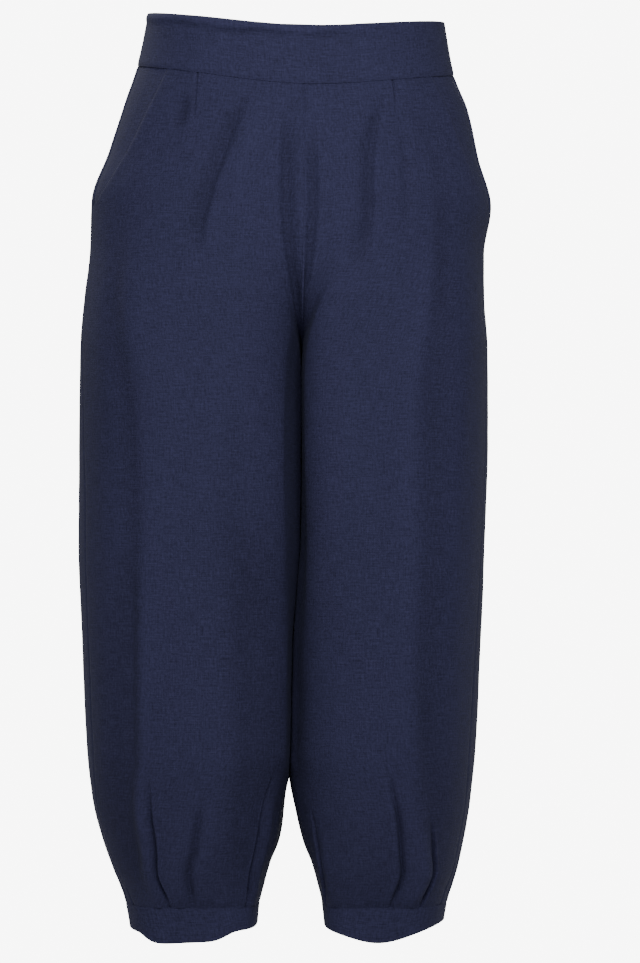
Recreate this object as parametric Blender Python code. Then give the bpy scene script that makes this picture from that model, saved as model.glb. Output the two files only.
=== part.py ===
"""Cropped linen trousers with lantern legs, held open in the shape they have when worn.

The cloth is a thin wall. Each half of the garment is one smooth surface that runs from the
centre front, round the side seam, to the centre back. Above the crotch its cross-section is
half of the hips, below it the whole of one leg, and the panels are cut from that surface.
Left and right are the wearer's, so left is +X. The front faces -Y.
"""

import bpy
import bmesh
import numpy as np

MM = 0.001

# Cloth walls and the clearance kept between two sewn pieces
CLOTH = 1.5 * MM
BAND = 2.3 * MM
FACING = 1.2 * MM
SEAM_GAP = 0.3 * MM

# How far the doubled waistband and hem bands stand outside the leg cloth
BAND_PROUD = 0.5 * MM

# Cross-sections in millimetres: how far the garment reaches at each height. The centre is
# the line between the two halves.
SECTION_COLUMNS = ("z", "centre", "right", "left", "front", "back")
SECTIONS = (
    (60, 0, 139, 139, 98, 101),
    (26, 3, 144.5, 145.5, 103, 106),
    (-26, 7, 155, 155.5, 110, 114),
    (-64, 9, 168, 170, 116, 124),
    (-112, 9, 184, 180.5, 121, 136),
    (-159, 9, 201, 192.5, 125, 144),
    (-206, 8, 202.5, 185.5, 127, 146),
    (-254, 7, 208, 186, 127, 143),
    (-301, 6, 212, 189, 127, 138),
    (-395, 6, 213.5, 189, 126, 131),
    (-490, 5, 213.5, 186, 125, 128),
    (-540, 1, 212, 184.5, 124.5, 127),
    (-597, -3, 210, 182, 123, 125),
    (-691, -5, 205.5, 177, 118, 120),
    (-739, -7, 200, 172, 109, 111),
    (-786, -5, 187, 163, 95, 97),
    (-810, -5, 178.5, 158, 85, 87),
    (-833, -5, 169, 151, 73, 75),
    (-845, -5, 167, 149, 67, 69),
    (-890, -5, 161, 142, 64, 66),
)

# Inner side of each leg. The gap is half of the space between the legs, below 0 where the
# thighs press flat on each other. In front they stand apart by a wedge-shaped slot. The power
# is the roundness of the leg there: 2 is an ellipse, more is squarer.
INNER_LEG_COLUMNS = ("z", "gap", "slot_right", "slot_left", "power_right", "power_left")
INNER_LEG = (
    (-200, -5, 0, 0, 3.2, 4.6),
    (-254, -5, 1, 1, 3.2, 4.6),
    (-284, -5, 7, 2, 3.2, 4.8),
    (-316, -5, 13, 3, 3.2, 5.0),
    (-395, -5, 14, 3, 3.2, 5.0),
    (-490, -5, 13, 4, 3.3, 4.6),
    (-540, -3, 9, 9, 3.8, 4.0),
    (-576, 0.5, 5, 14, 4.4, 3.4),
    (-610, -3, 4, 16, 4.6, 3.0),
    (-650, -3, 3, 17, 4.6, 3.0),
    (-691, -2, 3, 17, 4.4, 3.0),
    (-739, 3.6, 2, 13, 4.0, 3.0),
    (-786, 13.5, 0, 5, 3.8, 3.4),
    (-810, 23.2, 0, 0, 3.8, 3.8),
    (-833, 29, 0, 0, 3.8, 3.8),
    (-890, 35, 0, 0, 3.8, 3.8),
)

# The slot opens between these shares of the front depth, and its corner is a little round
SLOT_FLOOR = 0.28
SLOT_MOUTH = 0.75
SLOT_CORNER = 3 * MM

# Side seam of a leg, as an angle from straight ahead, in degrees, against height in mm
SEAM_COLUMNS = ("z", "angle")
SIDE_SEAM = (
    (60, 82),
    (-206, 80),
    (-254, 74),
    (-361, 62),
    (-490, 58),
    (-691, 58),
    (-760, 62),
    (-805, 63),
    (-845, 54),
    (-890, 50),
)
HIP_SEAM_ANGLE = np.radians(82)

# Roundness of the hips and of the outer side of a leg
HIP_POWER = 2.35
LEG_POWER_OUTER = 2.2

# Waist edges at the front, side and back, and the slope of the waist across the body
WAIST_TOP = (4 * MM, 26 * MM, 36 * MM)
WAIST_SEAM = (-53 * MM, -26 * MM, -17 * MM)
WAIST_SLOPE = -0.028

# Hem edges: the sewn seam above the band, and the band's free edge on the wearer's right and
# left. The right one tilts and is lifted at one place.
HEM_SEAM = (-842 * MM, -844 * MM, -843 * MM)
HEM_EDGE_RIGHT = (-877 * MM, -866 * MM, -866 * MM)
HEM_EDGE_LEFT = (-877 * MM, -863 * MM, -866 * MM)
HEM_TILT = -5 * MM
HEM_LIFT = 9 * MM
HEM_LIFT_ANGLE = np.radians(-50)
HEM_LIFT_SPREAD = np.radians(30)

# The crotch seam falls straight to FORK_START and then curves under to the crotch point.
# Away from the side seam the cloth first goes sideways along the hip and then back.
FORK_START = -170 * MM
CROTCH = -300 * MM
FORK_POWER = 1.5
LEG_BLEND_BOTTOM = -330 * MM
FORK_EDGE_POWER = 10
SIDEWAYS_POWER = 2
BACKWARD_POWER = 1.5
ALONG_HIP_FROM = 0.2
ALONG_HIP_RISE = 0.3

# Slanted pocket mouth, from the waist seam to the side seam
POCKET_TOP = -0.27
POCKET_END = -165 * MM
POCKET_CURVE = 0.45
POCKET_GAPE = 2.6 * MM
POCKET_GAPE_SPREAD = 0.10
FACING_UNDERLAP = 0.09
FACING_CLEAR = 0.9 * MM

# Elastic gathers of the back: waves on each back panel, their height and how far they run
GATHERS = 7
GATHER_HEIGHT = 1.9 * MM
GATHER_RUN = 55 * MM
GATHER_EDGE = 0.10

# A pleat is a narrow crease between two raised lips, pressed flat where the band is sewn on
PLEAT_CREASE = 0.5
PLEAT_LIP = 0.35
PLEAT_LIP_SPREAD = 0.55
PLEAT_PRESSED = 0.65

# Shares of a fold's length over which it rises and dies away, or is pressed at the band
PLEAT_RISE = 0.45
PLEAT_PRESS = 0.16
SOFT_RISE = 0.3
SOFT_FALL = 0.25

# Folds die away this far from the crotch seam and the inseam, as a change of place
FOLD_EDGE = 0.07

# Folds, pleats and darts. A place runs from -1 at the centre front, through 0 at the side
# seam, to 1 at the centre back. Heights, widths and depths are in mm, and a ridge has a
# depth above 0. A pleat's width is from its crease to its lip.
FOLD_COLUMNS = ("side", "kind", "place_top", "place_end", "top", "end", "width", "depth")
FOLDS = (
    ("right", "dart", -0.428, -0.455, -20, -100, 7, -1.6),
    ("left", "dart", -0.500, -0.520, -20, -84, 7, -1.6),
    ("right", "soft", -0.65, -0.49, -50, -225, 13, -4.4),
    ("left", "soft", -0.61, -0.60, -50, -240, 11, -3.8),
    ("both", "soft", -0.925, -0.915, -80, -248, 11, -2.6),
    ("right", "soft", -0.27, -0.23, -180, -640, 14, -3.6),
    ("right", "soft", -0.26, -0.22, -420, -842, 11, 1.8),
    ("right", "soft", -0.54, -0.535, -340, -520, 14, -2.6),
    ("right", "soft", -0.57, -0.71, -450, -760, 20, -3.8),
    ("right", "soft", -0.72, -0.77, -420, -842, 16, -2.8),
    ("left", "soft", -0.40, -0.28, -90, -842, 13, 1.8),
    ("left", "soft", -0.28, -0.19, -250, -842, 15, -3.6),
    ("left", "soft", -0.70, -0.74, -380, -760, 18, -2.6),
    ("both", "soft", 0.40, 0.45, -300, -800, 15, -4.0),
    ("both", "soft", 0.84, 0.56, -205, -340, 17, -5.0),
    ("both", "soft", 0.66, 0.70, -380, -780, 16, -4.0),
    ("both", "soft", 0.16, 0.18, -260, -640, 14, -3.0),
    ("right", "pleat", -0.270, -0.262, -700, -843, 8, -4.6),
    ("right", "pleat", -0.470, -0.388, -715, -843, 13, -3.8),
    ("right", "pleat", -0.700, -0.680, -700, -843, 8, -4.8),
    ("left", "pleat", -0.375, -0.346, -690, -843, 9, -4.6),
    ("left", "pleat", -0.230, -0.175, -745, -843, 8, -5.0),
    ("left", "pleat", -0.690, -0.740, -735, -843, 9, -3.4),
    ("both", "pleat", 0.100, 0.095, -725, -843, 9, -5.5),
    ("both", "pleat", 0.280, 0.292, -705, -843, 10, -6.0),
    ("both", "pleat", 0.505, 0.505, -690, -843, 10, -6.5),
    ("both", "pleat", 0.725, 0.717, -700, -843, 10, -6.0),
    ("both", "pleat", 0.905, 0.896, -720, -843, 9, -5.0),
)

# Rows of a leg panel, in mm, taken at the side seam
WAIST_ROWS = (-26, -48, -76, -105, -130, -147, -158, -165)
FORK_ROWS = (-200, -228, -252, -270, -284, -294, -300)
LEG_ROWS = (-312, -335, -375, -430, -490, -540, -580, -625, -668, -702,
            -728, -748, -766, -783, -799, -814, -829, -843)
FRONT_COLUMNS = 24
BACK_COLUMNS = 28
DART_CLEAR = -0.40
PLEAT_ROWS_FROM = -760 * MM
FACING_COLUMNS = 5
BAND_ROWS = 3
FRONT_BAND_COLUMNS = 16
HEM_FRONT_COLUMNS = 18
HEM_BACK_COLUMNS = 26

# Colour of the linen, darker on the pocket facing that lies in shade
NAVY = (0.020, 0.029, 0.058, 1.0)
NAVY_SHADE = (0.014, 0.020, 0.042, 1.0)
LINEN_ROUGHNESS = 0.85

LEFT = 1
RIGHT = -1
SIDE_NAMES = {LEFT: "left", RIGHT: "right"}


def smoothstep(value):
    """0 below 0, 1 above 1, and a smooth rise between."""
    value = np.clip(value, 0, 1)
    return value * value * (3 - 2 * value)


def follow(table, columns, name, z):
    """One column of a table at the heights z, on a smooth curve that never overshoots."""
    rows = np.array(sorted(table), dtype=float)
    heights = rows[:, 0] * MM
    values = rows[:, columns.index(name)]
    steps = np.diff(heights)
    slopes = np.diff(values) / steps
    product = slopes[1:] * slopes[:-1]
    total = slopes[1:] + slopes[:-1]
    safe_total = np.where(total == 0, 1, total)
    tangents = np.zeros(len(values))
    tangents[1:-1] = np.where(product > 0, 2 * product / safe_total, 0)
    tangents[0] = slopes[0]
    tangents[-1] = slopes[-1]
    z = np.clip(z, heights[0], heights[-1])
    index = np.clip(np.searchsorted(heights, z) - 1, 0, len(steps) - 1)
    span = steps[index]
    q = (z - heights[index]) / span
    start = (1 + 2 * q) * (1 - q) ** 2 * values[index]
    start_slope = q * (1 - q) ** 2 * span * tangents[index]
    end = q * q * (3 - 2 * q) * values[index + 1]
    end_slope = q * q * (q - 1) * span * tangents[index + 1]
    return start + start_slope + end + end_slope


def reach(name, z):
    """A column of SECTIONS at the heights z, in metres."""
    return follow(SECTIONS, SECTION_COLUMNS, name, z) * MM


def inner_leg(name, z):
    """A column of INNER_LEG at the heights z."""
    return follow(INNER_LEG, INNER_LEG_COLUMNS, name, z)


def around(edge, angle):
    """Height of an edge given at the front, side and back, at an angle from the front."""
    front, side, back = edge
    level = (front + 2 * side + back) / 4
    lean = (front - back) / 2
    sag = (front - 2 * side + back) / 4
    return level + lean * np.cos(angle) + sag * np.cos(2 * angle)


def oval_radius(angle, half_width, front, back, power):
    """Radius of a squared oval, at an angle measured from the front."""
    depth = np.where(np.cos(angle) > 0, front, back)
    across = np.abs(np.sin(angle)) / half_width
    along = np.abs(np.cos(angle)) / depth
    return (across ** power + along ** power) ** (-1 / power)


def hip_angle(place):
    """Angle round the hips of a place between the centre front and the centre back."""
    front = HIP_SEAM_ANGLE * (1 + place)
    back = HIP_SEAM_ANGLE + (np.pi - HIP_SEAM_ANGLE) * place
    return np.where(place < 0, front, back)


def leg_angle(place, z):
    """Angle round a leg of a place: the inseam is at both ends."""
    seam = np.radians(follow(SIDE_SEAM, SEAM_COLUMNS, "angle", z))
    inseam = np.pi / 2
    front = (seam + inseam) * (1 + place) - inseam
    back = seam + (2 * np.pi - inseam - seam) * place
    return np.where(place < 0, front, back)


def leg_share(place, z):
    """How far a point belongs to the leg: 0 in the hip section, 1 in the leg section."""
    fall = np.clip((FORK_START - z) / (FORK_START - CROTCH), 0, 1)
    middle = smoothstep((FORK_START - z) / (FORK_START - LEG_BLEND_BOTTOM))
    near_edge = np.clip(np.abs(place), 0, 1) ** FORK_EDGE_POWER
    return middle + (fall ** FORK_POWER - middle) * near_edge


def half_width(side, z):
    """Width of one half of the garment, from the centre to its side."""
    return reach(SIDE_NAMES[side], z) - side * reach("centre", z)


def hip_section(side, place, z):
    """Half of the oval round the hips: distances out from the centre, and Y."""
    angle = hip_angle(place)
    width = half_width(side, z)
    radius = oval_radius(angle, width, reach("front", z), reach("back", z), HIP_POWER)
    return radius * np.sin(angle), -radius * np.cos(angle)


def hip_depth(side, out, z):
    """Depth of the hip oval at a distance out from the centre, as a share of its reach."""
    share = np.clip(out / half_width(side, z), 0, 1)
    return (1 - share ** HIP_POWER) ** (1 / HIP_POWER)


def leg_section(side, place, z):
    """Oval round one leg, kept out of the slot: distances out from the centre, and Y."""
    angle = leg_angle(place, z)
    name = SIDE_NAMES[side]
    width = half_width(side, z)
    front = reach("front", z)
    gap = inner_leg("gap", z) * MM
    inward = (1 - np.sin(angle)) / 2
    power = LEG_POWER_OUTER + (inner_leg("power_" + name, z) - LEG_POWER_OUTER) * inward
    radius = oval_radius(angle, (width - gap) / 2, front, reach("back", z), power)
    out = (width + gap) / 2 + radius * np.sin(angle)
    y = -radius * np.cos(angle)
    opening = np.clip((-y / front - SLOT_FLOOR) / (SLOT_MOUTH - SLOT_FLOOR), 0, 1)
    wedge = np.clip(gap, 0, None) + inner_leg("slot_" + name, z) * MM * opening
    out = (out + wedge + np.sqrt((out - wedge) ** 2 + SLOT_CORNER ** 2)) / 2
    return out, y


def smooth_surface(side, place, z):
    """Garment surface before folds: the hip oval and the leg oval, mixed by leg_share."""
    hip_out, hip_y = hip_section(side, place, z)
    leg_out, leg_y = leg_section(side, place, z)
    share = leg_share(place, z)
    out = hip_out + (leg_out - hip_out) * (1 - (1 - share) ** SIDEWAYS_POWER)
    depth = np.where(hip_y < 0, -reach("front", z), reach("back", z)) * hip_depth(side, out, z)
    along_hip = smoothstep((np.abs(place) - ALONG_HIP_FROM) / ALONG_HIP_RISE)
    hip_y = hip_y + (depth - hip_y) * along_hip
    x = reach("centre", z) + side * out
    y = hip_y + (leg_y - hip_y) * share ** BACKWARD_POWER
    return np.stack([x, y, z + 0 * x], axis=-1)


def normals(surface, side, place, z):
    """Unit normals of a surface, pointing out of the garment, by small differences."""
    step_place = 0.004
    step_z = 1.0 * MM
    across = surface(side, place + step_place, z) - surface(side, place - step_place, z)
    down = surface(side, place, z - step_z) - surface(side, place, z + step_z)
    normal = np.cross(across, down) * -side
    return normal / np.linalg.norm(normal, axis=-1, keepdims=True)


def arc_length(place, z):
    """Rough width of the panel that a place lies on, to turn widths into places."""
    place = np.asarray(place)
    seam = np.radians(follow(SIDE_SEAM, SEAM_COLUMNS, "angle", z))
    span = np.where(place < 0, seam + np.pi / 2, 1.5 * np.pi - seam)
    leg_width = (reach("left", z) + reach("right", z)) / 4
    radius = (leg_width + reach("front", z)) / 2
    return span * radius


def fold_height(fold, place, z):
    """Height of one fold of the FOLDS table over the smooth surface."""
    _, kind, place_top, place_end, top, end, width, depth = fold
    q = (top * MM - z) / ((top - end) * MM)
    run = np.clip(q, 0, 1)
    middle = place_top + (place_end - place_top) * run
    across = np.abs((place - middle) * arc_length(place, z) / (width * MM))
    trough = np.exp(-across * across)
    if kind == "pleat":
        crease = np.exp(-(across / PLEAT_CREASE) ** 2)
        lip = np.exp(-((across - 1) / PLEAT_LIP_SPREAD) ** 2)
        pressed = PLEAT_PRESSED * smoothstep((q - 1 + PLEAT_PRESS) / PLEAT_PRESS)
        fade = smoothstep(q / PLEAT_RISE) * (1 - pressed)
        return depth * MM * fade * (crease - PLEAT_LIP * lip)
    if kind == "dart":
        fade = 1 - smoothstep(q)
        return depth * MM * fade * trough
    fade = smoothstep(q / SOFT_RISE) * smoothstep((1 - q) / SOFT_FALL)
    return depth * MM * fade * trough


def fold_sum(side, place, z):
    """All folds of one side, fading out at the crotch seam and the inseam."""
    total = 0 * place * z
    for fold in FOLDS:
        if fold[0] in ("both", SIDE_NAMES[side]):
            total = total + fold_height(fold, place, z)
    edge = smoothstep((1 - np.abs(place)) / FOLD_EDGE)
    return total * edge


def gather_sum(side, place, z):
    """Gathers under the elastic back waistband, dying away down the seat."""
    seam = around(WAIST_SEAM, hip_angle(place))
    fade = np.exp(-np.clip(seam - z, 0, None) / GATHER_RUN)
    ends = smoothstep(place / GATHER_EDGE)
    wave = np.cos(2 * np.pi * GATHERS * place)
    return GATHER_HEIGHT * wave * fade * ends


def raised(side, place, z, height):
    """Smooth surface moved out along its normal by a height."""
    base = smooth_surface(side, place, z)
    return base + normals(smooth_surface, side, place, z) * height[..., None]


def cloth_surface(side, place, z):
    """Outer face of the leg panels, with folds and gathers."""
    height = fold_sum(side, place, z) + gather_sum(side, place, z)
    return raised(side, place, z, height)


def pocket_edge(z):
    """Place of the slanted pocket mouth at the heights z, 0 below its end."""
    top = around(WAIST_SEAM, HIP_SEAM_ANGLE)
    q = np.clip((top - z) / (top - POCKET_END), 0, 1)
    return POCKET_TOP * (1 - q) ** POCKET_CURVE


def front_surface(side, place, z):
    """Outer face of a front panel, whose pocket edge gapes a little."""
    top = around(WAIST_SEAM, HIP_SEAM_ANGLE)
    q = np.clip((top - z) / (top - POCKET_END), 0, 1)
    near = np.exp(-(((place - pocket_edge(z)) / POCKET_GAPE_SPREAD) ** 2))
    gape = POCKET_GAPE * np.sin(np.pi * q) ** 2 * near
    height = fold_sum(side, place, z) + gape
    return raised(side, place, z, height)


def facing_surface(side, place, z):
    """Outer face of a pocket facing, just under the front panel."""
    height = fold_sum(side, place, z) - (CLOTH + FACING_CLEAR)
    return raised(side, place, z, height)


def band_surface(side, place, z):
    """Outer face of the waistband and the hem bands."""
    return raised(side, place, z, BAND_PROUD + gather_sum(side, place, z))


def make_material(name, colour):
    """Plain linen finish of one colour."""
    material = bpy.data.materials.new(name)
    material.use_nodes = True
    shader = material.node_tree.nodes["Principled BSDF"]
    shader.inputs["Base Color"].default_value = colour
    shader.inputs["Roughness"].default_value = LINEN_ROUGHNESS
    shader.inputs["Metallic"].default_value = 0.0
    return material


def grid_faces(rows, columns, closed):
    """Quads of a wall: outer grid, inner grid and the edges that join them."""
    layer = rows * columns
    faces = []
    wrap = columns if closed else columns - 1
    for row in range(rows - 1):
        for column in range(wrap):
            across = (column + 1) % columns
            a = row * columns + column
            b = row * columns + across
            c = b + columns
            d = a + columns
            faces.append((a, b, c, d))
            faces.append((layer + d, layer + c, layer + b, layer + a))
    for column in range(wrap):
        across = (column + 1) % columns
        last = (rows - 1) * columns
        faces.append((across, column, layer + column, layer + across))
        faces.append((last + column, last + across, layer + last + across, layer + last + column))
    if not closed:
        for row in range(rows - 1):
            a = row * columns
            d = a + columns
            faces.append((a, d, layer + d, layer + a))
            b = a + columns - 1
            c = d + columns - 1
            faces.append((c, b, layer + b, layer + c))
    return faces


def add_wall(name, outer, inner, material, closed=False):
    """Closed cloth solid between a grid of outer points and one of inner points."""
    rows, columns, _ = outer.shape
    points = np.concatenate([outer.reshape(-1, 3), inner.reshape(-1, 3)])
    mesh = bpy.data.meshes.new(name)
    mesh.from_pydata(points.tolist(), [], grid_faces(rows, columns, closed))
    edit = bmesh.new()
    edit.from_mesh(mesh)
    bmesh.ops.recalc_face_normals(edit, faces=edit.faces)
    bmesh.ops.triangulate(edit, faces=edit.faces)
    edit.to_mesh(mesh)
    edit.free()
    mesh.materials.append(material)
    mesh.shade_smooth()
    mesh.set_sharp_from_angle(angle=np.radians(50))
    part = bpy.data.objects.new(name, mesh)
    bpy.context.scene.collection.objects.link(part)
    return part


def side_rows():
    """Row heights of a leg panel at the side seam, from the waist seam to the hem seam."""
    return np.array(WAIST_ROWS + FORK_ROWS + LEG_ROWS) * MM


def row_heights(place, rows):
    """Heights of a panel's points: rows that follow the waist seam above, level below."""
    top = around(WAIST_SEAM, hip_angle(place)) - SEAM_GAP / 2
    bottom = around(HEM_SEAM, leg_angle(place, rows[-1])) + SEAM_GAP / 2
    near_top = smoothstep((rows[:, None] - FORK_START) / (rows[0] - FORK_START))
    near_bottom = smoothstep((LEG_BLEND_BOTTOM - rows[:, None]) / (LEG_BLEND_BOTTOM - rows[-1]))
    return rows[:, None] + (top - rows[0]) * near_top + (bottom - rows[-1]) * near_bottom


def fold_places(side, kind, low, high, column, z):
    """Places of one kind of fold between two places, each with its two lips."""
    places = []
    for fold in FOLDS:
        own = fold[0] in ("both", SIDE_NAMES[side])
        middle = fold[FOLD_COLUMNS.index(column)]
        if own and fold[1] == kind and low < middle < high:
            lip = fold[FOLD_COLUMNS.index("width")] * MM / float(arc_length(middle, z))
            places.extend([middle - lip, middle, middle + lip])
    return places


def spread_places(fixed, low, high, count):
    """Sorted places that hold the fixed ones, with the widest gaps halved up to a count."""
    places = sorted([low, high] + list(fixed))
    while len(places) < count:
        gaps = np.diff(places)
        widest = int(np.argmax(gaps))
        places.insert(widest + 1, places[widest] + gaps[widest] / 2)
    return np.array(places)


def panel_places(side, low, high, columns, rows):
    """Places of a panel's points: round the dart at the waist, round the pleats at the hem."""
    darts = fold_places(side, "dart", low, high, "place_top", WAIST_SEAM[1])
    waist = spread_places(darts, low, high, columns + 1)
    pleats = fold_places(side, "pleat", low, high, "place_end", HEM_SEAM[1])
    hem = spread_places(pleats, low, high, columns + 1)
    upper = waist[None, :] + np.zeros((len(rows), 1))
    if low < 0:
        beyond = np.clip((waist - DART_CLEAR) / (high - DART_CLEAR), 0, 1)
        upper = upper + pocket_edge(rows)[:, None] * beyond[None, :]
    share = smoothstep((CROTCH - rows) / (CROTCH - PLEAT_ROWS_FROM))[:, None]
    return upper + (hem - upper) * share


def seam_inset(z):
    """Half of the seam clearance, as a change of place."""
    return 0.5 * SEAM_GAP / arc_length(-0.5, z)


def slope_waist(points):
    """Lower the wearer's left of the waist a little, fading out at the crotch."""
    fade = smoothstep((points[..., 2] - CROTCH) / (WAIST_SEAM[1] - CROTCH))
    points[..., 2] += WAIST_SLOPE * points[..., 0] * fade
    return points


def keep_side(side, points):
    """Keep the points of one half clear of the plane where the two halves meet."""
    offset = side * (points[..., 0] - reach("centre", points[..., 2]))
    points[..., 0] += side * np.clip(SEAM_GAP / 2 - offset, 0, None)
    return points


def cut(side, surface, place, z, thickness):
    """Outer and inner points of a cloth piece, at a grid of places and heights."""
    outer = surface(side, place, z)
    inner = outer - normals(surface, side, place, z) * thickness
    return slope_waist(keep_side(side, outer)), slope_waist(keep_side(side, inner))


def add_leg_front(side, material):
    """Front leg: its outer edge is the pocket mouth above and the side seam below."""
    rows = side_rows()
    inset = seam_inset(rows)[:, None]
    edge = pocket_edge(rows)[:, None]
    place = panel_places(side, -1.0, 0.0, FRONT_COLUMNS, rows)
    place = np.clip(place, -1 + inset, edge - inset)
    outer, inner = cut(side, front_surface, place, row_heights(place, rows), CLOTH)
    return add_wall("leg_front_" + SIDE_NAMES[side], outer, inner, material)


def add_leg_back(side, material):
    """Back leg: from the side seam to the centre back and the inseam."""
    rows = side_rows()
    inset = seam_inset(rows)[:, None]
    place = panel_places(side, 0.0, 1.0, BACK_COLUMNS, rows)
    place = np.clip(place, inset, 1 - inset)
    outer, inner = cut(side, cloth_surface, place, row_heights(place, rows), CLOTH)
    return add_wall("leg_back_" + SIDE_NAMES[side], outer, inner, material)


def add_pocket_facing(side, material):
    """Facing that shows in the pocket mouth, between the front panel and the side seam."""
    rows = side_rows()
    count = len(WAIST_ROWS)
    low = pocket_edge(rows)[:, None] - FACING_UNDERLAP
    high = -seam_inset(rows)[:, None]
    place = low + (high - low) * np.linspace(0, 1, FACING_COLUMNS + 1)[None, :]
    z = row_heights(place, rows)[:count]
    outer, inner = cut(side, facing_surface, place[:count], z, FACING)
    return add_wall("pocket_facing_" + SIDE_NAMES[side], outer, inner, material)


def band_heights(low, high):
    """Heights of a band's points, from its upper edge to its lower one."""
    share = np.linspace(1, 0, BAND_ROWS)[:, None]
    return low + (high - low) * share


def add_waistband(name, start, end, columns, material):
    """Half of the waistband, from one side seam across the centre to the other."""
    outers = []
    inners = []
    inset = float(seam_inset(WAIST_SEAM[1])) * np.sign(end - start)
    for side in (RIGHT, LEFT):
        place = np.linspace(start + inset, end, columns + 1)[None, :] + np.zeros((BAND_ROWS, 1))
        angle = hip_angle(place)
        z = band_heights(around(WAIST_SEAM, angle) + SEAM_GAP / 2, around(WAIST_TOP, angle))
        outer, inner = cut(side, band_surface, place, z, BAND)
        outers.append(outer)
        inners.append(inner)
    outer = np.concatenate([outers[0], outers[1][:, -2::-1]], axis=1)
    inner = np.concatenate([inners[0], inners[1][:, -2::-1]], axis=1)
    return add_wall(name, outer, inner, material)


def hem_edge(side, angle):
    """Height of the free edge of a hem band, at an angle from the front."""
    if side == LEFT:
        return around(HEM_EDGE_LEFT, angle)
    lift = HEM_LIFT * np.exp(-((angle - HEM_LIFT_ANGLE) / HEM_LIFT_SPREAD) ** 2)
    return around(HEM_EDGE_RIGHT, angle) + HEM_TILT * np.sin(angle) + lift


def add_hem_band(side, material):
    """Band that gathers the pleats of one leg, a closed ring."""
    front = np.linspace(-1, 0, HEM_FRONT_COLUMNS, endpoint=False)
    back = np.linspace(0, 1, HEM_BACK_COLUMNS, endpoint=False)
    place = np.concatenate([front, back])[None, :] + np.zeros((BAND_ROWS, 1))
    angle = leg_angle(place, HEM_SEAM[1])
    z = band_heights(hem_edge(side, angle), around(HEM_SEAM, angle) - SEAM_GAP / 2)
    outer, inner = cut(side, band_surface, place, z, BAND)
    return add_wall("hem_band_" + SIDE_NAMES[side], outer, inner, material, closed=True)


def build():
    """All pieces of the trousers."""
    linen = make_material("navy_linen", NAVY)
    shaded = make_material("navy_linen_facing", NAVY_SHADE)
    add_waistband("waistband_front", 0.0, -1.0, FRONT_BAND_COLUMNS, linen)
    add_waistband("waistband_back", 0.0, 1.0, BACK_COLUMNS, linen)
    for side in (RIGHT, LEFT):
        add_leg_front(side, linen)
        add_leg_back(side, linen)
        add_pocket_facing(side, shaded)
        add_hem_band(side, linen)


for old in list(bpy.data.objects):
    bpy.data.objects.remove(old)
build()
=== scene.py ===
"""Navy linen trousers, cropped and lantern-legged, dressed over their CAD solids.

Every cloth piece is a thin shell worked out on the same smooth form as its solid: half of the
garment is one surface from the centre front, round the side seam, to the centre back. A place
on it runs from -1 at the centre front (the inseam, below the crotch), through 0 at the side
seam, to 1 at the centre back. Left and right are the wearer's: left is +X, the front is -Y.
The tables and the folds are in millimetres, all other lengths in metres.
"""

from __future__ import annotations

import logging
import math
from dataclasses import dataclass
from enum import Enum
from typing import ClassVar

import bpy
import numpy as np
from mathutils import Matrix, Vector


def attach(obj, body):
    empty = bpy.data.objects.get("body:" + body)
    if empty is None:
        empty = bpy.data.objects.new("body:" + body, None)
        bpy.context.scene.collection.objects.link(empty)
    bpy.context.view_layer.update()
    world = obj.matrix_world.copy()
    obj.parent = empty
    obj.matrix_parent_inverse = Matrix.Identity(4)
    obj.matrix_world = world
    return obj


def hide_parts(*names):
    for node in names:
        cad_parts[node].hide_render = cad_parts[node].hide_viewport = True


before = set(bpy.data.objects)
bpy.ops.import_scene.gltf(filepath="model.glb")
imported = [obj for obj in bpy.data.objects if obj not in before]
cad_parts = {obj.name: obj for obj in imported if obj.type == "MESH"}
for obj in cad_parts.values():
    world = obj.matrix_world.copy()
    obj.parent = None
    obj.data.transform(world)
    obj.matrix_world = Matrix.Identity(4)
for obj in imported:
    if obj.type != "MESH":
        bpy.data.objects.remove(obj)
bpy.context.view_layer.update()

MM = 0.001
SPACING_STEPS = 6001
LATTICE = 64
SHARP_ANGLE = math.radians(60)
Array = np.ndarray
Colour = tuple[float, float, float]
Point = tuple[float, float, float]
log = logging.getLogger("trousers")


class Side(Enum):
    """The wearer's side, with the sign of its X."""

    RIGHT = -1
    LEFT = 1

    @property
    def word(self) -> str:
        """Lower-case name, as used in the CAD nodes."""
        return self.name.lower()


class FoldKind(Enum):
    """How a fold is shaped across its line."""

    SOFT = "soft"
    DART = "dart"
    PLEAT = "pleat"


class Slot(Enum):
    """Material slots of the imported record."""

    LINEN = "navy_linen"
    FACING = "navy_linen_facing"


def smoothstep(value: Array) -> Array:
    """Smooth rise from 0 at 0 to 1 at 1.

    Args:
        value: Any array.

    Returns:
        3v^2 - 2v^3 of the value held between 0 and 1.
    """
    value = np.clip(value, 0, 1)
    return value * value * (3 - 2 * value)


def bell(distance: Array) -> Array:
    """Soft bump: e to the minus distance squared."""
    return np.exp(-distance * distance)


def spaced(low: float, high: float, count: int, crowds: list[tuple[float, float, float]]) -> Array:
    """Values from low to high, closer together near some of them.

    The density is 1 plus a bell for each crowd, and the values split its running sum evenly.

    Args:
        low: First value.
        high: Last value.
        count: How many values.
        crowds: A centre, a width and a strength for each place that needs more values.

    Returns:
        The sorted values.
    """
    fine = np.linspace(low, high, SPACING_STEPS)
    density = np.ones_like(fine)
    for centre, width, strength in crowds:
        density += strength * bell((fine - centre) / width)
    steps = (density[1:] + density[:-1]) / 2
    total = np.concatenate([[0.0], np.cumsum(steps)])
    return np.interp(np.linspace(0, total[-1], count), total, fine)


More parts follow.
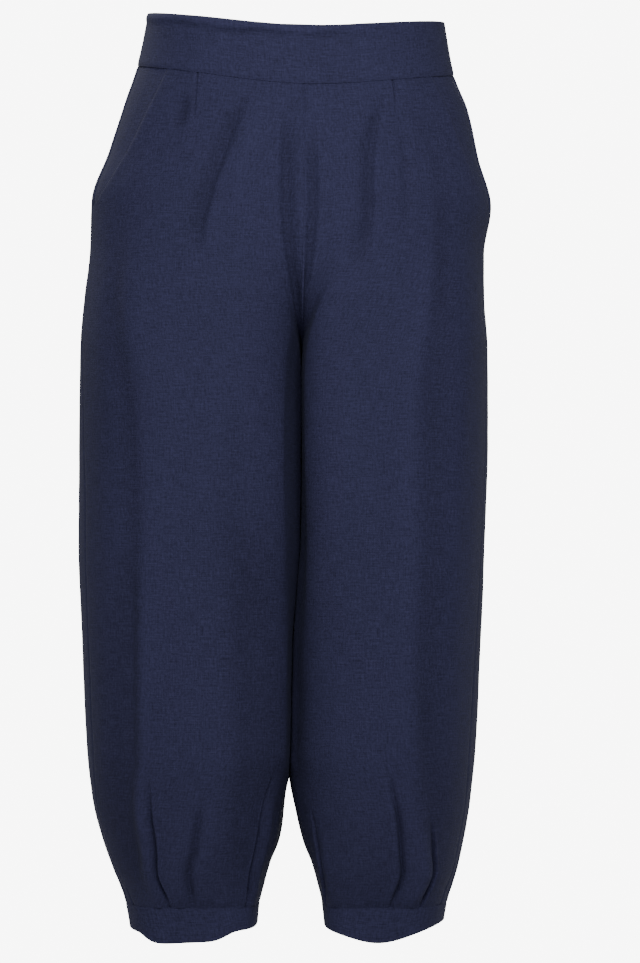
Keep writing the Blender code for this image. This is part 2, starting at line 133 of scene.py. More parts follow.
def lattice_noise(u: Array, v: Array, seed: int) -> Array:
    """Smooth uneven field between about -1 and 1, one swell for each unit of u and v.

    Random heights at the whole numbers of u and v are joined by smoothsteps.

    Args:
        u: First coordinate.
        v: Second coordinate.
        seed: Seed of the heights.

    Returns:
        The field at each point.
    """
    heights = np.random.default_rng(seed).uniform(-1, 1, (LATTICE, LATTICE))
    iu, iv = np.floor(u).astype(int), np.floor(v).astype(int)
    fu, fv = smoothstep(u - iu), smoothstep(v - iv)
    a = heights[iu % LATTICE, iv % LATTICE]
    b = heights[(iu + 1) % LATTICE, iv % LATTICE]
    c = heights[iu % LATTICE, (iv + 1) % LATTICE]
    d = heights[(iu + 1) % LATTICE, (iv + 1) % LATTICE]
    return (a + (b - a) * fu) * (1 - fv) + (c + (d - c) * fu) * fv


@dataclass(frozen=True)
class HeightTable:
    """Columns of values against height in millimetres, joined by smooth curves.

    Attributes:
        columns: Names of the columns. The first is the height.
        rows: Their values, one row for each height.
    """

    columns: tuple[str, ...]
    rows: tuple[tuple[float, ...], ...]

    def follow(self, column: str, z: Array) -> Array:
        """One column at the heights z.

        The curve is a cubic between rows whose slopes are harmonic means, so that it never
        overshoots a row.

        Args:
            column: Name of the column.
            z: Heights in metres.

        Returns:
            The values, in the column's own unit.
        """
        rows = np.array(sorted(self.rows), dtype=float)
        heights = rows[:, 0] * MM
        values = rows[:, self.columns.index(column)]
        steps = np.diff(heights)
        slopes = np.diff(values) / steps
        product = slopes[1:] * slopes[:-1]
        total = slopes[1:] + slopes[:-1]
        safe = np.where(total == 0, 1, total)
        tangents = np.zeros(len(values))
        tangents[1:-1] = np.where(product > 0, 2 * product / safe, 0)
        tangents[0], tangents[-1] = slopes[0], slopes[-1]
        z = np.clip(z, heights[0], heights[-1])
        index = np.clip(np.searchsorted(heights, z) - 1, 0, len(steps) - 1)
        span = steps[index]
        q = (z - heights[index]) / span
        start = (1 + 2 * q) * (1 - q) ** 2 * values[index]
        start_slope = q * (1 - q) ** 2 * span * tangents[index]
        end = q * q * (3 - 2 * q) * values[index + 1]
        end_slope = q * q * (q - 1) * span * tangents[index + 1]
        return start + start_slope + end + end_slope


@dataclass(frozen=True)
class RoundEdge:
    """Height of a sewn edge at the front, the sides and the back, in metres.

    Attributes:
        front: Height straight ahead.
        side: Mean height of the two sides.
        back: Height straight behind.
        tilt: How much higher the outer side is than that mean, and the inner side lower.
        dip: Height of the lobe in front, below 0.
        dip_angle: Angle of the middle of the lobe from straight ahead.
        dip_spread: Angle from its middle to where it has about a third of its height.
        dip_power: Its roundness: 2 is a bell, more is flatter with steeper ends.
    """

    front: float
    side: float
    back: float
    tilt: float = 0.0
    dip: float = 0.0
    dip_angle: float = 0.0
    dip_spread: float = math.radians(34)
    dip_power: float = 2.0

    def at(self, angle: Array) -> Array:
        """Height of the edge at some angles: a level, a lean, a tilt, a sag and the dip.

        The level is the mean round the edge. The lean goes with the cosine of the angle, the
        tilt with its sine and the sag with the cosine of twice the angle.

        Args:
            angle: Angles from straight ahead.

        Returns:
            Heights in metres.
        """
        level = (self.front + 2 * self.side + self.back) / 4
        lean = (self.front - self.back) / 2 * np.cos(angle)
        sag = (self.front - 2 * self.side + self.back) / 4 * np.cos(2 * angle)
        away = np.abs(angle - self.dip_angle) / self.dip_spread
        dip = self.dip * np.exp(-(away**self.dip_power))
        return level + lean + self.tilt * np.sin(angle) + sag + dip


# How far the garment reaches at each height: X of the centre between the halves, the outer
# side of each half, and the depth in front and behind.
SECTIONS = HeightTable(
    ("z", "centre", "right", "left", "front", "back"),
    (
        (60, 0, 139, 139, 98, 101),
        (26, 3, 144.5, 145.5, 103, 106),
        (-26, 7, 155, 155.5, 110, 114),
        (-64, 9, 168, 170, 116, 124),
        (-112, 9, 184, 180.5, 121, 136),
        (-159, 9, 201, 192.5, 125, 144),
        (-206, 8, 202.5, 185.5, 127, 146),
        (-254, 7, 208, 186, 127, 143),
        (-301, 6, 212, 189, 127, 138),
        (-395, 6, 213.5, 189, 126, 131),
        (-490, 5, 213.5, 186, 125, 128),
        (-540, 1, 212, 184.5, 124.5, 127),
        (-597, -3, 210, 182, 123, 125),
        (-691, -5, 205.5, 177, 118, 120),
        (-739, -7, 200, 172, 109, 111),
        (-786, -5, 187, 163, 95, 97),
        (-810, -5, 178.5, 158, 85, 87),
        (-833, -5, 169, 151, 73, 75),
        (-845, -5, 167, 149, 67, 69),
        (-890, -5, 161, 142, 64, 66),
    ),
)

# Inner side of each leg. The gap is half of the space between the legs, below 0 where the
# thighs press on each other. The slot is the wedge that parts them in front, and the corner
# the roundness of its edge. The power is the squareness of the leg there.
INNER_LEG = HeightTable(
    ("z", "gap", "slot_right", "slot_left", "power_right", "power_left", "corner"),
    (
        (-200, -5, 0, 0, 3.4, 6.4, 1),
        (-254, -5, 1, 0, 3.3, 6.4, 1),
        (-284, -5, 6, 1, 3.2, 5.8, 1),
        (-316, -5, 14, 2, 3.1, 5.2, 1),
        (-395, -5, 16, 3, 3.1, 4.8, 1),
        (-490, -5, 14, 4, 3.1, 4.2, 1),
        (-540, -6, 9, 7, 3.1, 3.5, 4),
        (-576, -8, 5, 8, 3.1, 2.7, 6),
        (-610, -9, 4, 8, 3.1, 2.4, 8),
        (-650, -9, 3, 8, 3.1, 2.3, 10),
        (-691, -8, 3, 8, 3.1, 2.3, 10),
        (-718, -1.2, 2, 7, 3.1, 2.3, 10),
        (-739, 3.2, 2, 6, 3.1, 2.4, 10),
        (-786, 13.5, 0, 4, 3.3, 2.7, 8),
        (-810, 23.2, 0, 0, 3.8, 3.6, 8),
        (-833, 29, 0, 0, 3.8, 3.8, 8),
        (-890, 35, 0, 0, 3.8, 3.8, 8),
    ),
)

# Angle of the side seam round the leg, in degrees from straight ahead.
SIDE_SEAM = HeightTable(
    ("z", "angle"),
    (
        (60, 82),
        (-206, 80),
        (-254, 74),
        (-361, 62),
        (-490, 58),
        (-691, 58),
        (-760, 62),
        (-805, 63),
        (-845, 54),
        (-890, 50),
    ),
)

# Edges of the waistband and of the hem bands.
WAIST_TOP = RoundEdge(4 * MM, 26 * MM, 36 * MM)
WAIST_SEAM = RoundEdge(-53 * MM, -26 * MM, -17 * MM)
HEM_SEAM = RoundEdge(-842 * MM, -844 * MM, -843 * MM)
HEM_EDGE_RIGHT = RoundEdge(
    -867 * MM,
    -866.5 * MM,
    -867 * MM,
    tilt=-2.5 * MM,
    dip=-10 * MM,
    dip_angle=math.radians(8),
    dip_spread=math.radians(37),
    dip_power=6,
)
HEM_EDGE_LEFT = RoundEdge(
    -864 * MM, -863 * MM, -866 * MM, tilt=1 * MM, dip=-13 * MM, dip_angle=math.radians(-5)
)


@dataclass(frozen=True)
class TrouserForm:
    """Smooth outside of the garment before folds: an oval round the hips, one round each leg.

    Attributes:
        hip_power: Squareness of the hip oval: 2 is an ellipse, more is squarer.
        outer_power: The same for the outer half of a leg.
        slot_floor: Share of the front depth at which the slot between the legs starts.
        slot_mouth: Share of the front depth at which it has its full width.
        slot_round: Share of its opening over which its corners become round.
        slot_full: Width of a slot that has whole round corners.
        hip_seam: Angle of the side seam round the hips.
        fork_start: Height at which the legs start to part.
        crotch: Height at which they are apart at the centre.
        fork_power: Power of their parting at the centre.
        blend_bottom: Height at which the whole section is the leg's own.
        edge_power: How closely the fork keeps to the centre: more is closer.
        sideways_power: How early a point moves sideways from the hip oval to the leg oval.
        backward_power: How late it moves back.
        valley_start: Distance in places from the side seam where depths start to follow X.
        valley_run: Run of places over which they come to follow it.
        valley_inner: Share of a leg's half width over which its own depths do.
        waist_slope: Rise of the waist for each metre of X.
        wander: How far the line where the thighs touch strays from the centre.
        wander_depth: Depth, in front and behind, within which it strays.
        wander_spread: Distance from the centre at which the shift has fallen to a third.
        wander_start: Run above the crotch over which the shift starts.
        wander_end: Height at which it ends.
        wander_fade: Run above that end over which it fades.
    """

    hip_power: float = 2.35
    outer_power: float = 2.2
    slot_floor: float = 0.42
    slot_mouth: float = 0.75
    slot_round: float = 0.3
    slot_full: float = 15 * MM
    hip_seam: float = math.radians(82)
    fork_start: float = -158 * MM
    crotch: float = -314 * MM
    fork_power: float = 2.6
    blend_bottom: float = -350 * MM
    edge_power: float = 8
    sideways_power: float = 1.5
    backward_power: float = 1.15
    valley_start: float = 0.2
    valley_run: float = 0.3
    valley_inner: float = 0.5
    waist_slope: float = -0.028
    wander: float = 2.2 * MM
    wander_depth: float = 30 * MM
    wander_spread: float = 30 * MM
    wander_start: float = 20 * MM
    wander_end: float = -735 * MM
    wander_fade: float = 80 * MM

    def reach(self, name: str, z: Array) -> Array:
        """How far the garment reaches at the heights z, in metres."""
        return SECTIONS.follow(name, z) * MM

    def hip_angle(self, place: Array) -> Array:
        """Angle round the hips of a place: even steps in front and behind.

        Args:
            place: Places from -1 to 1.

        Returns:
            Angles from straight ahead.
        """
        front = self.hip_seam * (1 + place)
        back = self.hip_seam + (math.pi - self.hip_seam) * place
        return np.where(place < 0, front, back)

    def leg_angle(self, place: Array, z: Array) -> Array:
        """Angle round a leg of a place, where the inseam is at both ends.

        Args:
            place: Places from -1 to 1.
            z: Heights in metres.

        Returns:
            Angles from straight ahead, a quarter turn before it at the inseam in front.
        """
        seam = np.radians(SIDE_SEAM.follow("angle", z))
        front = (seam + math.pi / 2) * (1 + place) - math.pi / 2
        back = seam + (1.5 * math.pi - seam) * place
        return np.where(place < 0, front, back)

    def oval(self, angle: Array, half: Array, front: Array, back: Array, power: Array) -> Array:
        """Radius of a squared oval: the power mean of its half width and its depth.

        Args:
            angle: Angles from straight ahead.
            half: Half width.
            front: Depth in front of the middle.
            back: Depth behind it.
            power: Squareness.

        Returns:
            Radii in metres.
        """
        depth = np.where(np.cos(angle) > 0, front, back)
        across = np.abs(np.sin(angle)) / half
        along = np.abs(np.cos(angle)) / depth
        return (across**power + along**power) ** (-1 / power)

    def oval_y(self, y: Array, across: Array, front: Array, back: Array, power: Array) -> Array:
        """Y of a squared oval at a share of its half width.

        Args:
            y: Any Y on the wanted half, for its sign.
            across: Share of the half width, from 0 at the middle to 1 at the side.
            front: Depth in front of the middle.
            back: Depth behind it.
            power: Squareness.

        Returns:
            Y in metres: that half's depth times (1 - across^power)^(1 / power).
        """
        return np.where(y < 0, -front, back) * (1 - across**power) ** (1 / power)

    def leg_share(self, place: Array, z: Array) -> Array:
        """How far a point belongs to its leg: a power curve at the fork, smooth between.

        Args:
            place: Places from -1 to 1.
            z: Heights in metres.

        Returns:
            Shares from 0, on the hip oval, to 1, on the leg oval.
        """
        fall = np.clip((self.fork_start - z) / (self.fork_start - self.crotch), 0, 1)
        edge = fall**self.fork_power
        middle = smoothstep((self.fork_start - z) / (self.fork_start - self.blend_bottom))
        near_edge = np.clip(np.abs(place), 0, 1) ** self.edge_power
        return middle + (edge - middle) * near_edge

    def leg_point(self, side: Side, place: Array, z: Array, half: Array) -> tuple[Array, Array]:
        """Point of the leg oval, with the slot between the legs.

        Where the gap is below 0 the thighs press on each other and lie flat on the centre. In
        front they stand apart by a wedge-shaped slot: a leg goes no further in than the wedge,
        with a small round corner, the smooth maximum of the two.

        Args:
            side: Which leg.
            place: Places from -1 to 1.
            z: Heights in metres.
            half: Width of that half of the garment, from the centre out.

        Returns:
            Distance from the centre and Y.
        """
        front, back = self.reach("front", z), self.reach("back", z)
        gap, slot = (INNER_LEG.follow(name, z) * MM for name in ("gap", "slot_" + side.word))
        inner_power = INNER_LEG.follow("power_" + side.word, z)
        angle = self.leg_angle(place, z)
        inward = (1 - np.sin(angle)) / 2
        power = self.outer_power + (inner_power - self.outer_power) * inward
        radius = self.oval(angle, (half - gap) / 2, front, back, power)
        x = (half + gap) / 2 + radius * np.sin(angle)
        y = -radius * np.cos(angle)
        forward = -y / front - self.slot_floor
        opening = np.clip(forward / (self.slot_mouth - self.slot_floor), 0, 1)
        wedge = np.clip(gap, 0, None) + slot * opening
        corner = INNER_LEG.follow("corner", z) * MM * smoothstep(opening / self.slot_round)
        corner = corner * np.clip(slot / self.slot_full, 0, 1)
        x = (x + wedge + np.sqrt((x - wedge) ** 2 + corner * corner)) / 2
        return x, y

    def smooth(self, side: Side, place: Array, z: Array) -> Array:
        """Points of the surface before folds: the hip oval and the leg oval, mixed.

        At the fork a point goes sideways first, along the hip oval, and then back into the leg,
        with both depths taken at its own X, so that the valley between the legs starts narrow.

        Args:
            side: Which half of the garment.
            place: Places from -1 to 1.
            z: Heights in metres.

        Returns:
            Points, with X, Y and Z in the last axis.
        """
        sign = side.value
        centre = self.reach("centre", z)
        half = self.reach(side.word, z) - sign * centre
        front, back = self.reach("front", z), self.reach("back", z)
        angle = self.hip_angle(place)
        radius = self.oval(angle, half, front, back, self.hip_power)
        hip_x, hip_y = radius * np.sin(angle), -radius * np.cos(angle)
        leg_x, leg_y = self.leg_point(side, place, z, half)
        share = self.leg_share(place, z)
        x = hip_x + (leg_x - hip_x) * (1 - (1 - share) ** self.sideways_power)
        across = np.clip(x / half, 0, 1)
        over = self.oval_y(hip_y, across, front, back, self.hip_power)
        follow = smoothstep((np.abs(place) - self.valley_start) / self.valley_run)
        hip_y = hip_y + (over - hip_y) * follow
        gap = INNER_LEG.follow("gap", z) * MM
        inner = np.clip(((half + gap) / 2 - x) / ((half - gap) / 2), 0, 1)
        inner_power = INNER_LEG.follow("power_" + side.word, z)
        over = self.oval_y(leg_y, inner, front, back, inner_power)
        leg_y = leg_y + (over - leg_y) * smoothstep(inner / self.valley_inner) * (1 - share)
        x = centre + sign * x
        y = hip_y + (leg_y - hip_y) * share**self.backward_power
        return np.stack([x, y, z + 0 * x], axis=-1)

    def normal(self, side: Side, place: Array, z: Array) -> Array:
        """Unit vectors out of the smooth surface, from small steps across and down it.

        Args:
            side: Which half of the garment.
            place: Places from -1 to 1.
            z: Heights in metres.

        Returns:
            The cross product of the two steps, at length 1.
        """
        step, drop = 0.004, 1.0 * MM
        across = self.smooth(side, place + step, z) - self.smooth(side, place - step, z)
        down = self.smooth(side, place, z - drop) - self.smooth(side, place, z + drop)
        out = np.cross(across, down) * -side.value
        return out / np.linalg.norm(out, axis=-1, keepdims=True)

    def lean_together(self, points: Array, centre: Array) -> Array:
        """How far both thighs shift sideways where they touch, so that the gap is not straight.

        One turn of a sine from front to back, fading with the distance from the centre and at
        the ends of the thighs.

        Args:
            points: Points of one half.
            centre: X of the centre at each of them.

        Returns:
            Shifts along X in metres.
        """
        depth = np.sin(math.pi * np.clip(points[..., 1] / self.wander_depth, -1, 1))
        near = bell((points[..., 0] - centre) / self.wander_spread)
        ends = smoothstep((self.crotch - points[..., 2]) / self.wander_start + 1)
        ends = ends * smoothstep((points[..., 2] - self.wander_end) / self.wander_fade)
        return self.wander * depth * near * ends

    def raised(self, side: Side, place: Array, z: Array, height: Array) -> Array:
        """Points at a height over the smooth surface, never past the centre, waist sloped.

        Args:
            side: Which half of the garment.
            place: Places from -1 to 1.
            z: Heights of the smooth surface in metres.
            height: How far out of it each point lies.

        Returns:
            Points, with X, Y and Z in the last axis.
        """
        points = self.smooth(side, place, z) + self.normal(side, place, z) * height[..., None]
        centre = self.reach("centre", points[..., 2])
        offset = side.value * (points[..., 0] - centre)
        points[..., 0] -= side.value * np.clip(offset, None, 0)
        points[..., 0] += self.lean_together(points, centre)
        fade = smoothstep((points[..., 2] - self.crotch) / (WAIST_SEAM.side - self.crotch))
        points[..., 2] += self.waist_slope * points[..., 0] * fade
        return points

    def panel_width(self, place: Array, z: Array) -> Array:
        """Rough width of the panel that a place lies on, to turn widths into places.

        Args:
            place: Places from -1 to 1.
            z: Heights in metres.

        Returns:
            The panel's angle times the mean of the leg's half width and its depth.
        """
        seam = np.radians(SIDE_SEAM.follow("angle", z))
        span = np.where(np.asarray(place) < 0, seam + math.pi / 2, 1.5 * math.pi - seam)
        leg_width = (self.reach("left", z) + self.reach("right", z)) / 4
        return span * (leg_width + self.reach("front", z)) / 2


FORM = TrouserForm()


@dataclass(frozen=True)
class Fold:
    """One fold, dart or pleat. Its line passes through three places; lengths are in mm.

    Attributes:
        side: "right", "left" or "both".
        kind: Its shape across the line.
        places: Places of the line at its top, middle and end.
        top: Height of its top.
        end: Height of its lower end.
        width: Half width of the trough, or from a pleat's crease to its lip.
        depth: Height at the line: below 0 for a trough, above 0 for a ridge.
        lean: Above 0, the flank towards the side seam is the gentler one.
        tail: Share of a soft fold's length over which its lower end fades.
        flank_bend: How sharply its flanks change from one slope to the other at the line.
        head: Share of a soft fold's length over which its top rises.
        dart_hold: Share of a dart's length that keeps its full depth.
        pleat_head: Share of a pleat's length over which its top rises.
        pleat_tuck: Share of a pleat's length where its end starts to be pressed flat.
        pleat_press: How much of its depth the pressing takes.
        crease: Half width of a pleat's crease, as a share of its width.
        lip_width: Half width of its lips, as a share of its width.
        lip_height: Height of its lips, as a share of its depth.
        lip_lean: How much a lean of 1 adds to one lip and takes from the other.
    """

    side: str
    kind: FoldKind
    places: tuple[float, float, float]
    top: float
    end: float
    width: float
    depth: float
    lean: float = 0.0
    tail: float = 0.25
    flank_bend: ClassVar[float] = 2.0
    head: ClassVar[float] = 0.3
    dart_hold: ClassVar[float] = 0.45
    pleat_head: ClassVar[float] = 0.5
    pleat_tuck: ClassVar[float] = 0.86
    pleat_press: ClassVar[float] = 0.7
    crease: ClassVar[float] = 0.26
    lip_width: ClassVar[float] = 0.55
    lip_height: ClassVar[float] = 0.35
    lip_lean: ClassVar[float] = 0.2

    def on(self, side: Side) -> bool:
        """Whether the fold lies on that side."""
        return self.side in ("both", side.word)

    def middle(self, z: Array) -> Array:
        """Place of the line at the heights z: the parabola through its three places.

        Args:
            z: Heights in metres.

        Returns:
            Places, which stay at the ends of the line above and below it.
        """
        q = np.clip((self.top * MM - z) / ((self.top - self.end) * MM), 0, 1)
        a, b, c = self.places
        return a * (1 - q) * (1 - 2 * q) + 4 * b * q * (1 - q) + c * q * (2 * q - 1)

    def height(self, place: Array, z: Array) -> Array:
        """Height of the fold over the smooth surface.

        A dart and a soft fold are a bell across their line. A pleat is a narrow bell down for
        its crease, between two wider bells up for its lips. Each fades along its line.

        Args:
            place: Places from -1 to 1.
            z: Heights in metres.

        Returns:
            Heights in metres, below 0 in a trough.
        """
        q = (self.top * MM - z) / ((self.top - self.end) * MM)
        offset = (place - self.middle(z)) * FORM.panel_width(place, z) / (self.width * MM)
        flank = 1 + self.lean * np.tanh(self.flank_bend * offset)
        across = offset / flank
        if self.kind is FoldKind.DART:
            fade = 1 - smoothstep((q - self.dart_hold) / (1 - self.dart_hold))
            return self.depth * MM * fade * bell(across)
        if self.kind is FoldKind.SOFT:
            fade = smoothstep(q / self.head) * smoothstep((1 - q) / self.tail)
            return self.depth * MM * fade * bell(across)
        pressed = smoothstep((q - self.pleat_tuck) / (1 - self.pleat_tuck))
        fade = smoothstep(q / self.pleat_head) * (1 - self.pleat_press * pressed)
        crease = bell(across / self.crease)
        lip = self.lip_height + self.lip_lean * self.lean * np.sign(across)
        lips = bell((np.abs(across) - 1) / self.lip_width) * lip
        return self.depth * MM * fade * (crease - lips)


# Darts first, then the soft folds of the front and of the back, then the pleats over the hems.
SOFT, DART, PLEAT = FoldKind.SOFT, FoldKind.DART, FoldKind.PLEAT

FOLDS = (
    Fold("right", DART, (-0.428, -0.440, -0.455), -20, -104, 1.4, -1.7),
    Fold("left", DART, (-0.500, -0.508, -0.520), -20, -82, 1.4, -1.6),
    Fold("right", SOFT, (-0.388, -0.388, -0.388), -62, -98, 9, -2.9),
    Fold("right", SOFT, (-0.712, -0.560, -0.480), -50, -225, 12, -4.4, 0.4),
    Fold("right", SOFT, (-0.800, -0.690, -0.640), -60, -190, 12, 1.4),
    Fold("left", SOFT, (-0.540, -0.665, -0.575), -50, -240, 10, -3.8, -0.4),
    Fold("left", SOFT, (-0.490, -0.495, -0.500), -80, -200, 8, -1.2),
    Fold("right", SOFT, (-0.905, -0.905, -0.935), -60, -300, 13, -4.4, -0.3),
    Fold("left", SOFT, (-0.950, -0.950, -0.965), -80, -295, 10, -3.4, -0.3),
    Fold("right", SOFT, (-0.215, -0.225, -0.215), -150, -640, 13, -3.0, 0.2),
    Fold("right", SOFT, (-0.215, -0.205, -0.190), -480, -842, 15, -5.0, 0.5, 0.15),
    Fold("right", SOFT, (-0.262, -0.259, -0.225), -420, -842, 8, 0.8, 0.5),
    Fold("right", SOFT, (-0.540, -0.537, -0.535), -350, -520, 12, -1.4, 0.3),
    Fold("right", SOFT, (-0.560, -0.600, -0.640), -440, -842, 24, -4.5, -0.2, 0.15),
    Fold("left", SOFT, (-0.400, -0.350, -0.280), -90, -842, 13, 0.9, 0.6),
    Fold("left", SOFT, (-0.350, -0.290, -0.195), -60, -842, 15, -3.6, 0.3),
    Fold("left", SOFT, (-0.700, -0.720, -0.740), -380, -760, 18, -2.6),
    Fold("both", SOFT, (0.400, 0.430, 0.450), -300, -800, 15, -4.0, 0.3),
    Fold("both", SOFT, (0.840, 0.720, 0.560), -205, -340, 17, -5.0, -0.4),
    Fold("both", SOFT, (0.930, 0.860, 0.760), -190, -290, 10, -2.4),
    Fold("both", SOFT, (0.660, 0.690, 0.700), -380, -780, 16, -4.0, -0.3),
    Fold("both", SOFT, (0.160, 0.165, 0.180), -260, -640, 14, -3.0),
    Fold("right", PLEAT, (-0.268, -0.292, -0.262), -700, -843, 6.5, -4.2, 0.8),
    Fold("right", PLEAT, (-0.470, -0.440, -0.388), -715, -843, 13, -3.4, 0.2),
    Fold("right", PLEAT, (-0.705, -0.685, -0.680), -700, -843, 6.5, -4.6, -0.8),
    Fold("left", PLEAT, (-0.385, -0.352, -0.346), -690, -843, 9, -4.2, 0.4),
    Fold("left", PLEAT, (-0.240, -0.200, -0.175), -745, -843, 6.5, -5.0, -0.8),
    Fold("left", PLEAT, (-0.690, -0.700, -0.740), -735, -843, 7, -2.8, 0.5),
    Fold("both", PLEAT, (0.100, 0.098, 0.095), -725, -843, 9, -5.5, 0.6),
    Fold("both", PLEAT, (0.280, 0.288, 0.292), -705, -843, 10, -5.4, -0.6),
    Fold("both", PLEAT, (0.505, 0.505, 0.505), -690, -843, 10, -5.6, 0.6),
    Fold("both", PLEAT, (0.725, 0.720, 0.717), -700, -843, 10, -5.4, -0.6),
    Fold("both", PLEAT, (0.905, 0.900, 0.896), -720, -843, 9, -5.0, 0.5),
)


@dataclass(frozen=True)
class Ripple:
    """One of the smaller cosines among the gathers of the elastic waist.

    Attributes:
        height: Its height for a large gather of 1.
        count: How many go to one large gather.
        phase: Angle by which it starts later on the left and earlier on the right.
        drift: Angle that it turns through for each metre of height.
    """

    height: float
    count: float
    phase: float
    drift: float


@dataclass(frozen=True)
class Swell:
    """One size of the unevenness of linen after wear.

    Attributes:
        height: Its height for a large swell of 1.
        across: Its size across the cloth.
        down: Its size down the cloth.
        start: Where it starts in the field of noise, across and down.
    """

    height: float
    across: float
    down: float
    start: tuple[float, float]


# The two ripples between the large gathers.
RIPPLES = (Ripple(0.42, 2.6, 0.5, 30), Ripple(0.25, 4.3, -1.0, -50))

# Large, middling and fine unevenness, each longer down the cloth than across.
SWELLS = (
    Swell(1.0, 30 * MM, 85 * MM, (40, 40)),
    Swell(0.5, 13 * MM, 34 * MM, (40, 60)),
    Swell(0.22, 6 * MM, 11 * MM, (80, 90)),
)


@dataclass(frozen=True)
class Drapery:
    """How the linen hangs on the form: folds, gathers, pocket gape and small unevenness.

    Attributes:
        edge_fade: Distance in places from the centre over which folds die away.
        gathers: Large gathers for each turn of places.
        gather_height: Height of a large gather.
        gather_run: Distance below the waist seam at which it has fallen to a third.
        ripple_run: The same for the ripples, as a share of it.
        gather_start: Distance in places from the side seam over which the gathers start.
        crumple: Height of the largest swell of linen after wear.
        crumple_width: Width of a panel, to turn places into distances for the swells.
        seed_right: Seed of the swells on the right.
        seed_left: Seed of the swells on the left.
        pocket_top: Place of the top of the pocket mouth.
        pocket_end: Height of its lower end, at the side seam.
        pocket_curve: Power of its line: below 1 it turns to the side seam near its end.
        pocket_gape: How far it stands off the hip.
        gape_spread: Distance in places over which that falls to a third.
    """

    edge_fade: float = 0.03
    gathers: float = 7
    gather_height: float = 1.7 * MM
    gather_run: float = 55 * MM
    ripple_run: float = 0.45
    gather_start: float = 0.08
    crumple: float = 0.42 * MM
    crumple_width: float = 340 * MM
    seed_right: int = 23
    seed_left: int = 11
    pocket_top: float = -0.27
    pocket_end: float = -165 * MM
    pocket_curve: float = 0.45
    pocket_gape: float = 2.6 * MM
    gape_spread: float = 0.10

    def folds(self, side: Side, place: Array, z: Array) -> Array:
        """Sum of the side's folds, dying away at the crotch seam and the inseam.

        Args:
            side: The wearer's side.
            place: Places from -1 to 1.
            z: Heights in metres.

        Returns:
            Heights over the smooth surface.
        """
        total = 0 * place * z
        for fold in FOLDS:
            if fold.on(side):
                total = total + fold.height(place, z)
        return total * smoothstep((1 - np.abs(place)) / self.edge_fade)

    def gather(self, side: Side, place: Array, z: Array) -> Array:
        """Gathers of the elastic back: large cosines round the waist with ripples, fading down.

        Args:
            side: The wearer's side.
            place: Places from -1 to 1.
            z: Heights in metres.

        Returns:
            Heights over the smooth surface, 0 in front of the side seam.
        """
        below = np.clip(WAIST_SEAM.at(FORM.hip_angle(place)) - z, 0, None)
        turn = self.gathers * 2 * math.pi * place
        large = np.cos(turn) * np.exp(-below / self.gather_run)
        small = 0.0
        for ripple in RIPPLES:
            angle = ripple.count * turn + ripple.phase * side.value + ripple.drift * z
            small = small + ripple.height * np.cos(angle)
        small = small * np.exp(-below / (self.ripple_run * self.gather_run))
        return self.gather_height * (large + small) * smoothstep(place / self.gather_start)

    def uneven(self, side: Side, place: Array, z: Array) -> Array:
        """Small unevenness of linen after wear: the sum of its swells, long in the warp.

        Args:
            side: The wearer's side.
            place: Places from -1 to 1.
            z: Heights in metres.

        Returns:
            Heights over the smooth surface.
        """
        seed = self.seed_left if side is Side.LEFT else self.seed_right
        along = place * self.crumple_width
        field = 0.0
        for number, swell in enumerate(SWELLS):
            u = along / swell.across + swell.start[0]
            v = z / swell.down + swell.start[1]
            field = field + swell.height * lattice_noise(u, v, seed + number)
        return self.crumple * field * smoothstep((1 - np.abs(place)) / self.edge_fade)

    def down_pocket(self, z: Array) -> Array:
        """Share of the way down the pocket mouth, 0 at the waist seam and 1 at its end."""
        top = WAIST_SEAM.at(np.array(FORM.hip_seam))
        return np.clip((top - z) / (top - self.pocket_end), 0, 1)

    def pocket_edge(self, z: Array) -> Array:
        """Place of the slanted pocket mouth, 0 below its end."""
        return self.pocket_top * (1 - self.down_pocket(z)) ** self.pocket_curve

    def gape(self, place: Array, z: Array) -> Array:
        """How far the pocket mouth stands off the hip: a bell across it, a sine down it."""
        near = bell((place - self.pocket_edge(z)) / self.gape_spread)
        return self.pocket_gape * np.sin(math.pi * self.down_pocket(z)) ** 2 * near


DRAPE = Drapery()


@dataclass(frozen=True)
class Sheet:
    """Flat cut of a cloth piece.

    Attributes:
        width: Its width in metres.
        length: Its length in metres.
        area: Its area in square metres.
        held: How it is held: hung, stretched or gathered.
        rests_on: The nodes that it is sewn to.
    """

    width: float
    length: float
    area: float
    held: str
    rests_on: tuple[str, ...]


def grid_quads(rows: int, columns: int, closed: bool) -> Array:
    """Corners of the quads of a wall: its outside, its inside and the strips that join them.

    Point numbers run along the rows of the outer grid and then of the inner one.

    Args:
        rows: Rows of each grid.
        columns: Columns of each grid.
        closed: Whether the last column meets the first.

    Returns:
        One row of four point numbers for each quad.
    """
    layer = rows * columns
    number = np.arange(layer).reshape(rows, columns)
    right = np.roll(number, -1, axis=1)
    use = columns if closed else columns - 1
    a, b = number[:-1, :use], right[:-1, :use]
    d, c = number[1:, :use], right[1:, :use]
    outside = np.stack([a, b, c, d], axis=-1).reshape(-1, 4)
    inside = np.stack([d, c, b, a], axis=-1).reshape(-1, 4) + layer
    top, top_next = number[0, :use], right[0, :use]
    low, low_next = number[-1, :use], right[-1, :use]
    strips = [
        outside,
        inside,
        np.stack([top_next, top, top + layer, top_next + layer], axis=-1),
        np.stack([low, low_next, low_next + layer, low + layer], axis=-1),
    ]
    if not closed:
        start, start_next = number[:-1, 0], number[1:, 0]
        end, end_next = number[:-1, -1], number[1:, -1]
        strips.append(np.stack([start, start_next, start_next + layer, start + layer], axis=-1))
        strips.append(np.stack([end_next, end, end + layer, end_next + layer], axis=-1))
    return np.concatenate(strips)


